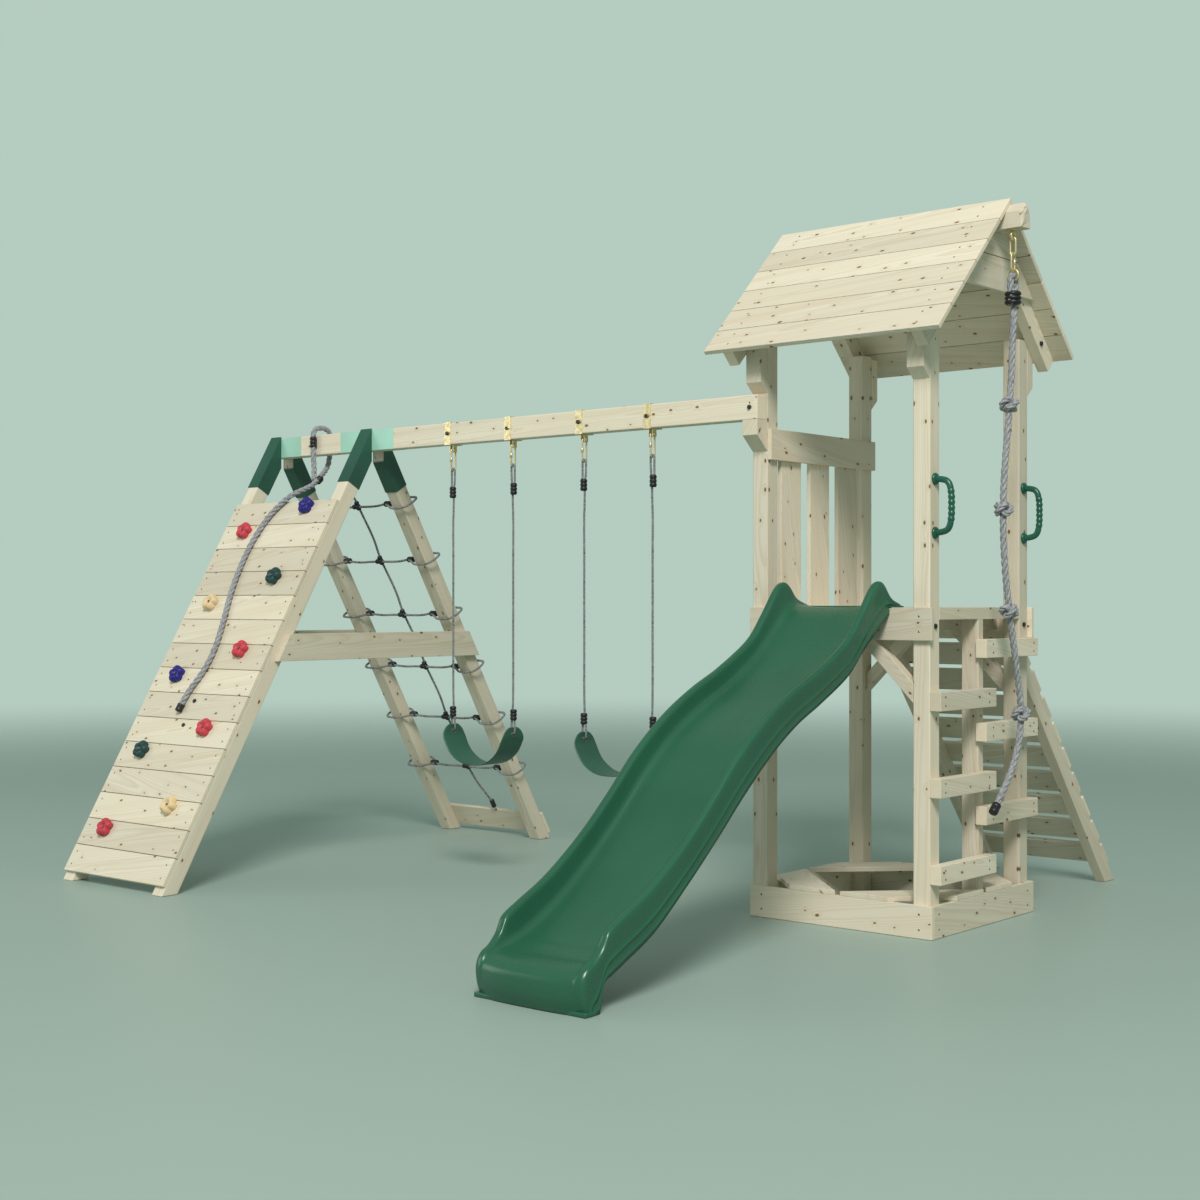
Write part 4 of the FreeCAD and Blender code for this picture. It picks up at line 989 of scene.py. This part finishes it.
for k in range(10):
    for off in (0.025, 0.085):
        d = 0.100 + 0.144 * k + off
        for x in (-0.1225, -0.6775):
            spots.append((at(x, REAR_FOOT - d * math.sin(REAR_LEAN) + BOARD * math.cos(REAR_LEAN),
                             d * math.cos(REAR_LEAN) + BOARD * math.sin(REAR_LEAN)),
                          (0, math.cos(REAR_LEAN), math.sin(REAR_LEAN))))
for low in (0.0, 1.080):
    for z in (low + 0.032, low + 0.088):
        for x in (-0.747, -0.053):
            spots += [(at(x, 0.0, z), (0, -1, 0)), (at(x, TOWER_DEPTH, z), (0, 1, 0))]
        if low == 0:
            spots += [(at(0.0, y, z), (1, 0, 0)) for y in (0.053, 0.747)]
for k in range(3):
    for off in (-0.016, 0.016):
        for y, top in ((0.053, 0.895), (0.385, 0.895), (0.415, 1.080), (0.747, 1.080)):
            spots.append((at(0.027, y, top - 0.035 + off - 0.314 * k), (1, 0, 0)))
for x, z in ((-0.035, 2.190), (-0.765, 2.190), (-0.765, 1.990)):
    spots.append((at(x, -0.027 if z > 2.1 else -0.052, z), (0, -1, 0)))
round_head = head_nodes("round_head", 16, 0.6, 0.32)
hex_head = head_nodes("hex_head", 6, 0.97, 0.75)
heads("board_screws", round_head, spots, 0.0042, screw_steel)
print("screws", len(spots))

# %% Bolts
bolt_spots = []
for corners, _ in boards_of("bolts"):
    points = np.array([tuple(c) for c in corners])
    middle = points.mean(0)
    aim = np.linalg.svd(points - middle)[2][-1]
    out = middle - np.array(at(-0.4, 0.4, middle[2]))
    if middle[0] < at(-2.9, 0, 0).x:
        out = np.array([0.0, -1.0, 0.6])
    aim = aim if aim.dot(out) > 0 else -aim
    height = np.ptp(points @ aim)
    bolt_spots.append((middle - aim * height / 2, aim))
bolt_heads = heads("bolt_heads", hex_head, bolt_spots, 0.0095, black_moulding)
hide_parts("bolts")
strap_spots = [(at(middle + side * HALF_SEAT, BEAM_Y + face * 0.038, 1.9725), (0, face, 0))
               for middle in SWINGS.values() for side in (-1, 1) for face in (-1, 1)]
heads("strap_bolts", hex_head, strap_spots, 0.0094, black_moulding)
print("bolts", len(bolt_spots), "strap bolts", len(strap_spots))

# %% [markdown]
# ## Painted brackets
# At each end of the beam a folded sleeve holds two legs, and a lighter plate lies
# on each side of the beam. They are one node of the frame, so the plates are told
# from the sleeves by their height.


# %% Sleeves and plates
def sheet_metal(name, lots, material):
    """Folded steel with barely rounded edges."""
    return piece_from(name, [lot_of(rounded_board(*lot, 0.0008)[0]) for lot in lots],
                      material, smooth=False)


for end_name in ("near", "far"):
    node = "apex_bracket_" + end_name
    plates, sleeves = [], []
    for lot in boards_of(node):
        heights = [c.z for c in lot[0]]
        (plates if abs(max(heights) - min(heights) - 0.095) < 0.002 else sleeves).append(lot)
    for kind, lots, material in (("plates", plates, steel_mint),
                                 ("sleeves", sleeves, steel_green)):
        dress(sheet_metal(f"{node}_{kind}", lots, material), "frame", node)
    print(node, "plates", len(plates), "sleeve walls", len(sleeves))


# %% [markdown]
# ## Zinc links and eyes
# A closed link is a wire bent into an oval. A threaded sleeve on one side is what
# opens it. The straps keep the frame's own shape and only get a finish.


# %% Links
def loop_tube(points, normal, wire, sides=12):
    """A closed tube round a flat loop of points."""
    points = np.array([tuple(p) for p in points])
    normal = np.array(tuple(normal), float)
    aims = np.roll(points, -1, axis=0) - np.roll(points, 1, axis=0)
    aims /= np.linalg.norm(aims, axis=1)[:, None]
    across = np.cross(aims, normal)
    angles = np.arange(sides) * 2 * math.pi / sides
    ring = (across[:, None, :] * np.cos(angles)[None, :, None]
            + normal[None, None, :] * np.sin(angles)[None, :, None])
    corners = (points[:, None, :] + ring * wire).reshape(-1, 3)
    count = len(points)
    faces = [(i * sides + j, ((i + 1) % count) * sides + j,
              ((i + 1) % count) * sides + (j + 1) % sides, i * sides + (j + 1) % sides)
             for i in range(count) for j in range(sides)]
    return corners, faces, []


def oval(top, side, half, height):
    """Points round a link that hangs from its top."""
    top, side = Vector(top), Vector(side)
    points = []
    for k in range(13):
        angle = math.pi * k / 12
        points.append(top - side * half * math.cos(angle)
                      + Vector((0, 0, half * (math.sin(angle) - 1))))
    for k in range(13):
        angle = math.pi * k / 12
        points.append(top + side * half * math.cos(angle)
                      + Vector((0, 0, -height + half * (1 - math.sin(angle)))))
    return points


def circle(centre, first, second, radius, count=40):
    return [Vector(centre) + (Vector(first) * math.cos(2 * math.pi * k / count)
                              + Vector(second) * math.sin(2 * math.pi * k / count)) * radius
            for k in range(count)]


def sleeve_on(place, wire):
    """A threaded sleeve round the straight side of a link."""
    return lathe(place, Z, [
        (wire, -0.011), (wire + 0.0018, -0.010), (wire + 0.0018, 0.010), (wire, 0.011)], 6)


def zinc_piece(name, parts, body, node):
    return dress(piece_from(name, parts, zinc), body, node)


HOOK_TOP = PIN_HEIGHT + 0.0083
for swing, middle in SWINGS.items():
    parts = []
    for side in (-1, 1):
        top = at(middle + side * HALF_SEAT, BEAM_Y, HOOK_TOP)
        parts.append(loop_tube(oval(top, Y, 0.013, 0.100), X, 0.004))
        parts.append(sleeve_on(top + Vector((0, -0.013, -0.052)), 0.004))
    zinc_piece(f"{swing}_links", parts, swing, f"{swing}_hooks")
LINK_TOP = 2.58084
zinc_piece("rope_link_oval", [
    loop_tube(oval(at(ROPE_X, ROPE_Y, LINK_TOP), X, 0.011, 0.066), Y, 0.004)],
    "link", "rope_link")
CARABINER_TOP = LINK_TOP - 0.066 + 0.0083
RING_Z = CARABINER_TOP - 0.070 + 0.0083 - 0.0216
zinc_piece("rope_carabiner_ring", [
    loop_tube(oval(at(ROPE_X, ROPE_Y, CARABINER_TOP), Y, 0.013, 0.070), X, 0.004),
    sleeve_on(at(ROPE_X, ROPE_Y + 0.013, CARABINER_TOP - 0.034), 0.004),
    loop_tube(circle(at(ROPE_X, ROPE_Y, RING_Z), X, Z, 0.0216), Y, 0.004)],
    "climbing_rope", "rope_carabiner")
EYE_Z = 2.58654
zinc_piece("rope_eye_round", [
    loop_tube(circle(at(ROPE_X, ROPE_Y, EYE_Z), Y, Z, 0.015), X, 0.005),
    lathe(at(ROPE_X, ROPE_Y, EYE_Z + 0.021), Z,
          [(0.020, -0.0022), (0.022, -0.0012), (0.022, 0.002)])],
    "frame", "rope_eye")
straps = nodes["swing_hangers"]
straps.data.materials.clear()
straps.data.materials.append(zinc)
print("links and eyes", 5)


# %% [markdown]
# ## Grab handles
# Each is a moulded bow between two round feet. Its grip has shallow rings, made by
# letting the tube's radius rise and fall along the straight part.

# %% Two handles
handle_parts = []
for y in (0.053, 0.747):
    route = [at(x, y, z) for x, z in (
        (-0.017, 1.471), (0.010, 1.472), (0.040, 1.482), (0.0505, 1.522), (0.0505, 1.569),
        (0.0505, 1.616), (0.040, 1.656), (0.010, 1.666), (-0.017, 1.667))]
    line = smooth_line(route, 0.002)
    heights = line[:, 2]
    grip = (heights > 1.508) & (heights < 1.630)
    radius = 0.0118 + 0.0012 * np.where(grip, np.cos(heights * 2 * math.pi / 0.020), -0.2)
    handle_parts.append(tube_data(line, radius, 20))
    for z in (1.471, 1.667):
        handle_parts.append(lathe(at(-0.018, y, z), X, [
            (0.022, 0.0), (0.022, 0.005), (0.019, 0.009), (0.013, 0.011)]))
dress(piece_from("grab_handles_moulded", [(c, f, []) for c, f, _ in handle_parts], handle_green),
      "frame", "grab_handles")
print("handles", 2)


# %% [markdown]
# ## Climbing holds
# A hold is a low lobed stone with a dish at its top, where one bolt goes through.
# The frame has a plain cone for each, which gives the place and the facing.


# %% Lobed holds
def hold_parts(base, aim, rng):
    aim = Vector(aim).normalized()
    side = aim.orthogonal().normalized()
    up = aim.cross(side)
    turn = rng.uniform(0, 2 * math.pi)
    profile = [(0.97, 0.0), (1.0, 0.12), (1.03, 0.32), (1.03, 0.56), (0.97, 0.78), (0.86, 0.93),
               (0.71, 1.0), (0.55, 0.97), (0.40, 0.86), (0.28, 0.74), (0.20, 0.66)]
    count = 50
    corners = []
    for reach, rise in profile:
        for k in range(count):
            angle = 2 * math.pi * k / count
            knob = abs(math.cos(2.5 * (angle + turn))) ** 0.8
            lobe = 1.0 - 0.34 * (1.0 - knob) * min(1.0, 1.6 * reach - 0.4)
            spot = 0.041 * reach * lobe
            corners.append(Vector(base) + aim * 0.034 * rise
                           + (side * math.cos(angle) + up * math.sin(angle)) * spot)
    return corners, ring_faces(len(profile), count), []


hold_bolts = []
for colour, material in hold_finishes.items():
    rng = random.Random(colour)
    parts = []
    for corners, _ in boards_of("holds_" + colour):
        middle = Vector(np.array([tuple(c) for c in corners]).mean(0))
        rear = middle.y > at(0, TOWER_DEPTH, 0).y
        lean = REAR_LEAN if rear else LEAN
        aim = Vector((0, math.cos(lean) * (1 if rear else -1), math.sin(lean)))
        base = middle - aim * 0.017
        parts.append(hold_parts(base, aim, rng))
        hold_bolts.append((base + aim * 0.0235, aim))
    dress(piece_from("holds_lobed_" + colour, parts, material),
          "frame", "holds_" + colour)
heads("hold_bolts", hex_head, hold_bolts, 0.0058, screw_steel)
print("holds", len(hold_bolts))


# %% [markdown]
# ## Belt seats
# A swing's seat is a flat belt of soft plastic that hangs in a wide U. Its ends
# are half round and each has a metal eyelet for the rope.


# %% A curve through points
def through(points, steps):
    """Points on a smooth curve that passes through every given point."""
    p = np.array([tuple(q) for q in points], float)
    p = np.vstack([2 * p[0] - p[1], p, 2 * p[-1] - p[-2]])
    out = []
    for i in range(1, len(p) - 2):
        for k in range(steps):
            t = k / steps
            out.append(0.5 * (2 * p[i] + (p[i + 1] - p[i - 1]) * t
                              + (2 * p[i - 1] - 5 * p[i] + 4 * p[i + 1] - p[i + 2]) * t * t
                              + (3 * p[i] - p[i - 1] - 3 * p[i + 1] + p[i + 2]) * t ** 3))
    out.append(p[-2])
    return np.array(out)


# %% Two belts with eyelets
BELT, BELT_WIDE = 0.005, 0.140
for swing, middle in SWINGS.items():
    h = HALF_SEAT
    sag = [(-h, 0.677), (-h, 0.656), (-h + 0.006, 0.620), (-h + 0.042, 0.560),
           (-h + 0.105, 0.518), (0, 0.506), (h - 0.105, 0.518), (h - 0.042, 0.560),
           (h - 0.006, 0.620), (h, 0.656), (h, 0.677)]
    line = evened(through([(x, 0.0, z) for x, z in sag], 10), 0.004)
    reach = reach_along(line)
    to_end = np.minimum(reach, reach[-1] - reach)
    away = np.cross(aims_along(line), [0.0, 1.0, 0.0])
    half = BELT_WIDE / 2 * np.sqrt(1 - np.clip(1 - (to_end + 0.004) / 0.070, 0, 1) ** 2)
    cols = np.linspace(-1, 1, 17)
    corners, faces = [], []
    n, m = len(line), len(cols)
    for face in (1, -1):
        for i in range(n):
            for c in cols:
                thin = BELT / 2 * (1 - 0.5 * abs(c) ** 8)
                spot = line[i] + away[i] * thin * face + np.array([0.0, c * half[i], 0.0])
                corners.append(at(middle + spot[0], BEAM_Y + spot[1], spot[2]))
    for i in range(n - 1):
        for j in range(m - 1):
            a = i * m + j
            quad = (a, a + 1, a + m + 1, a + m)
            faces += [quad, tuple(v + n * m for v in quad[::-1])]
    edge = ([i * m for i in range(n)] + [(n - 1) * m + j for j in range(1, m)]
            + [i * m + m - 1 for i in range(n - 2, -1, -1)] + list(range(m - 2, 0, -1)))
    for a, b in zip(edge, edge[1:] + edge[:1]):
        faces.append((a, b, b + n * m, a + n * m))
    belt = piece_from(f"{swing}_belt", [(corners, faces, [])], seat_green)
    bm = bmesh.new()
    bm.from_mesh(belt.data)
    bmesh.ops.recalc_face_normals(bm, faces=bm.faces)
    bm.to_mesh(belt.data)
    bm.free()
    rings = []
    for side in (-1, 1):
        centre = at(middle + side * HALF_SEAT, BEAM_Y, SEAT_TURN - 0.0047)
        for face in (-1, 1):
            rings.append(loop_tube(circle(centre + X * face * 0.0026, Y, Z, 0.0125), X, 0.0019))
    eyelets = piece_from(f"{swing}_eyelets", rings, screw_steel)
    dress(belt, swing, f"{swing}_seat")
    dress(eyelets, swing, f"{swing}_seat")
print("belts", len(SWINGS))

# %% [markdown]
# ## The slide
# It is one moulding. Three lines run down it: the rim, the bed and the lower edge
# of its side. At matching stations a section joins them: a dished bed, a soft
# fillet, a sloping inner wall, a rounded rim, and an outer side with two raised
# lines. At the nose the three lines come together on the floor.

# %% Three lines down the slide
STATIONS = [  # bed, rim and lower edge, each as (Y, Z) in millimetres
    ((85, 1206), (85, 1212), (85, 1200)), ((20, 1206), (20, 1236), (20, 1199)),
    ((-10, 1205), (-30, 1284), (-4, 1170)), ((-40, 1199), (-62, 1293), (-36, 1146)),
    ((-90, 1172), (-105, 1266), (-84, 1113)), ((-180, 1090), (-190, 1166), (-168, 1050)),
    ((-290, 1003), (-280, 1078), (-280, 955)), ((-450, 912), (-456, 984), (-450, 868)),
    ((-610, 840), (-620, 914), (-600, 800)), ((-770, 752), (-780, 828), (-740, 715)),
    ((-920, 634), (-940, 711), (-900, 592)), ((-1070, 494), (-1085, 575), (-1067, 448)),
    ((-1220, 369), (-1225, 455), (-1225, 320)), ((-1370, 262), (-1390, 342), (-1380, 205)),
    ((-1510, 186), (-1530, 272), (-1521, 135)), ((-1575, 162), (-1592, 238), (-1580, 108)),
    ((-1620, 148), (-1634, 188), (-1632, 84)), ((-1665, 139), (-1678, 158), (-1652, 30)),
    ((-1708, 126), (-1722, 136), (-1664, 0)), ((-1736, 98), (-1743, 98), (-1685, 0)),
    ((-1738, 48), (-1739, 48), (-1705, 0)),
    ((-1722, 0), (-1722, 0), (-1722, 0)),
]
lines = []
for which in range(3):
    path = through([(0.0, s[which][0] / 1000, s[which][1] / 1000) for s in STATIONS], 10)
    path[:, 2] = np.maximum(path[:, 2], 0.0)
    lines.append(path)
bed, rim, low = lines


def upward(path):
    """The way out of a line's upper side, at each of its points."""
    aims = np.gradient(path, axis=0)
    aims /= np.maximum(np.linalg.norm(aims, axis=1), 1e-9)[:, None]
    return np.cross(aims, [-1.0, 0.0, 0.0]) * -1.0


# %% The slide's section
SECTION = [  # distance from the middle, share of rim, lift in metres
    (0.000, 0.0, -0.0035), (0.050, 0.0, -0.0030), (0.100, 0.0, -0.0018), (0.140, 0.0, 0.0),
    (0.160, 0.015, 0.0), (0.172, 0.06, 0.0), (0.180, 0.15, 0.0), (0.185, 0.30, 0.0),
    (0.189, 0.55, 0.0), (0.192, 0.80, 0.0), (0.1945, 0.92, 0.0), (0.198, 0.98, 0.0),
    (0.203, 1.0, 0.0005), (0.210, 1.0, 0.0015), (0.217, 1.0, 0.0005), (0.222, 1.0, -0.0025),
    (0.2248, 1.0, -0.0075),
]
SIDE = [  # distance from the middle, share of the way from the rim to the lower edge
    (0.2250, 0.16), (0.2246, 0.30), (0.2242, 0.45), (0.2240, 0.585), (0.2262, 0.598),
    (0.2262, 0.625), (0.2240, 0.638), (0.2238, 0.75), (0.2238, 0.862), (0.2260, 0.875),
    (0.2260, 0.900), (0.2238, 0.913), (0.2240, 1.0),
]
bed_up, rim_up = upward(bed), upward(rim)
SLIDE_X = -0.400
rows = []
for x, share, lift in SECTION:
    ups = bed_up * (1 - share) + rim_up * share
    rows.append((x, bed * (1 - share) + rim * share + ups * lift))
shoulder = rows[-1][1]
for x, share in SIDE:
    rows.append((x, shoulder * (1 - share) + low * share))
strips = [(-x, row) for x, row in rows[:0:-1]] + rows
corners = []
for i in range(len(bed)):
    for x, row in strips:
        nose = min(1.0, max(0.0, (-1.60 - row[i][1]) / 0.10))
        corners.append(at(SLIDE_X + x, row[i][1] + 0.034 * nose * (abs(x) / 0.225) ** 3,
                          max(row[i][2], 0.0)))
wide = len(strips)
faces = [(i * wide + j, i * wide + j + 1, (i + 1) * wide + j + 1, (i + 1) * wide + j)
         for i in range(len(bed) - 1) for j in range(wide - 1)]
slide = piece_from("slide_moulding", [(corners, faces, [])], slide_green)
bm = bmesh.new()
bm.from_mesh(slide.data)
bmesh.ops.remove_doubles(bm, verts=bm.verts, dist=2e-5)
bmesh.ops.recalc_face_normals(bm, faces=bm.faces)
top_face = max(bm.faces, key=lambda f: f.calc_center_median().z)
if top_face.normal.z < 0:
    bmesh.ops.reverse_faces(bm, faces=bm.faces)
bm.to_mesh(slide.data)
bm.free()
thick = slide.modifiers.new("wall", "SOLIDIFY")
thick.thickness = 0.004
thick.offset = -1.0
kept = bpy.data.meshes.new_from_object(
    slide.evaluated_get(bpy.context.evaluated_depsgraph_get()))
slide.modifiers.clear()
slide.data = kept


# %% The slide's plate and foot
def rounded_box(low_corner, high_corner, width):
    bm = bmesh.new()
    bmesh.ops.create_cube(bm, size=1.0)
    size = high_corner - low_corner
    bmesh.ops.scale(bm, vec=size, verts=bm.verts)
    bmesh.ops.translate(bm, vec=(low_corner + high_corner) / 2, verts=bm.verts)
    bmesh.ops.bevel(bm, geom=list(bm.edges), offset=width, segments=3, profile=0.6,
                    affect="EDGES", clamp_overlap=True)
    return lot_of(bm)


lips = piece_from("slide_lips", [
    rounded_box(at(-0.635, -0.004, 1.200), at(-0.165, 0.085, 1.206), 0.002),
    rounded_box(at(-0.628, -1.712, 0.0), at(-0.172, -1.658, 0.014), 0.004)], slide_green)
for obj in (slide, lips):
    dress(obj, "frame", "slide")
print("slide faces", len(slide.data.polygons))

# %% [markdown]
# ## Floor and light
# The set stands on a matt pale floor that fades into the room's own colour far
# away, so no line shows where they meet. A glossy floor would mirror the lights.
# One broad soft light stands well back to the front right and above, so that it
# lights both ends of the set evenly. A weaker one fills from the left. The room is
# a little brighter to the camera than it is to the set, which keeps the shadows.

# %% A plain studio
floor_finish = Finish("floor")
east, north, _ = floor_finish.split(floor_finish.coordinate())
away = (east * east + north * north) ** 0.5
floor_material = floor_finish.surface(
    Base_Color=rgb(0.34, 0.43, 0.385), Roughness=0.42, Specular_IOR_Level=0.15,
    Alpha=floor_finish.ease(away, 16.0, 5.0))
floor = piece_from("floor", [([(-40, -40, -0.001), (40, -40, -0.001), (40, 40, -0.001),
                               (-40, 40, -0.001)], [(0, 1, 2, 3)], [])], floor_material, False)
world = bpy.data.worlds.new("room")
world.use_nodes = True
room = world.node_tree.nodes["Background"]
room.inputs[0].default_value = (0.66, 0.86, 0.76, 1)
seen = world.node_tree.nodes.new("ShaderNodeLightPath")
brightness = world.node_tree.nodes.new("ShaderNodeMapRange")
brightness.inputs["To Min"].default_value = 0.42
brightness.inputs["To Max"].default_value = 0.70
world.node_tree.links.new(seen.outputs["Is Camera Ray"], brightness.inputs["Value"])
world.node_tree.links.new(brightness.outputs[0], room.inputs[1])
bpy.context.scene.world = world


def soft_light(name, place, target, size, power, tint=(1, 1, 1)):
    data = bpy.data.lights.new(name, "AREA")
    data.shape = "SQUARE"
    data.size = size
    data.energy = power
    data.color = tint
    lamp = placed(name, data)
    lamp.location = place
    lamp.rotation_euler = (Vector(target) - Vector(place)).to_track_quat("-Z", "Y").to_euler()
    return lamp


key = soft_light("key", (9.0, -11.0, 13.0), (0, 0, 1.0), 5.0, 2800, (1.0, 0.98, 0.95))
fill = soft_light("fill", (-6.5, -5.5, 3.0), (0, 0, 1.0), 4.0, 90)
bpy.context.scene.view_settings.view_transform = "Standard"
print("stage", 3)
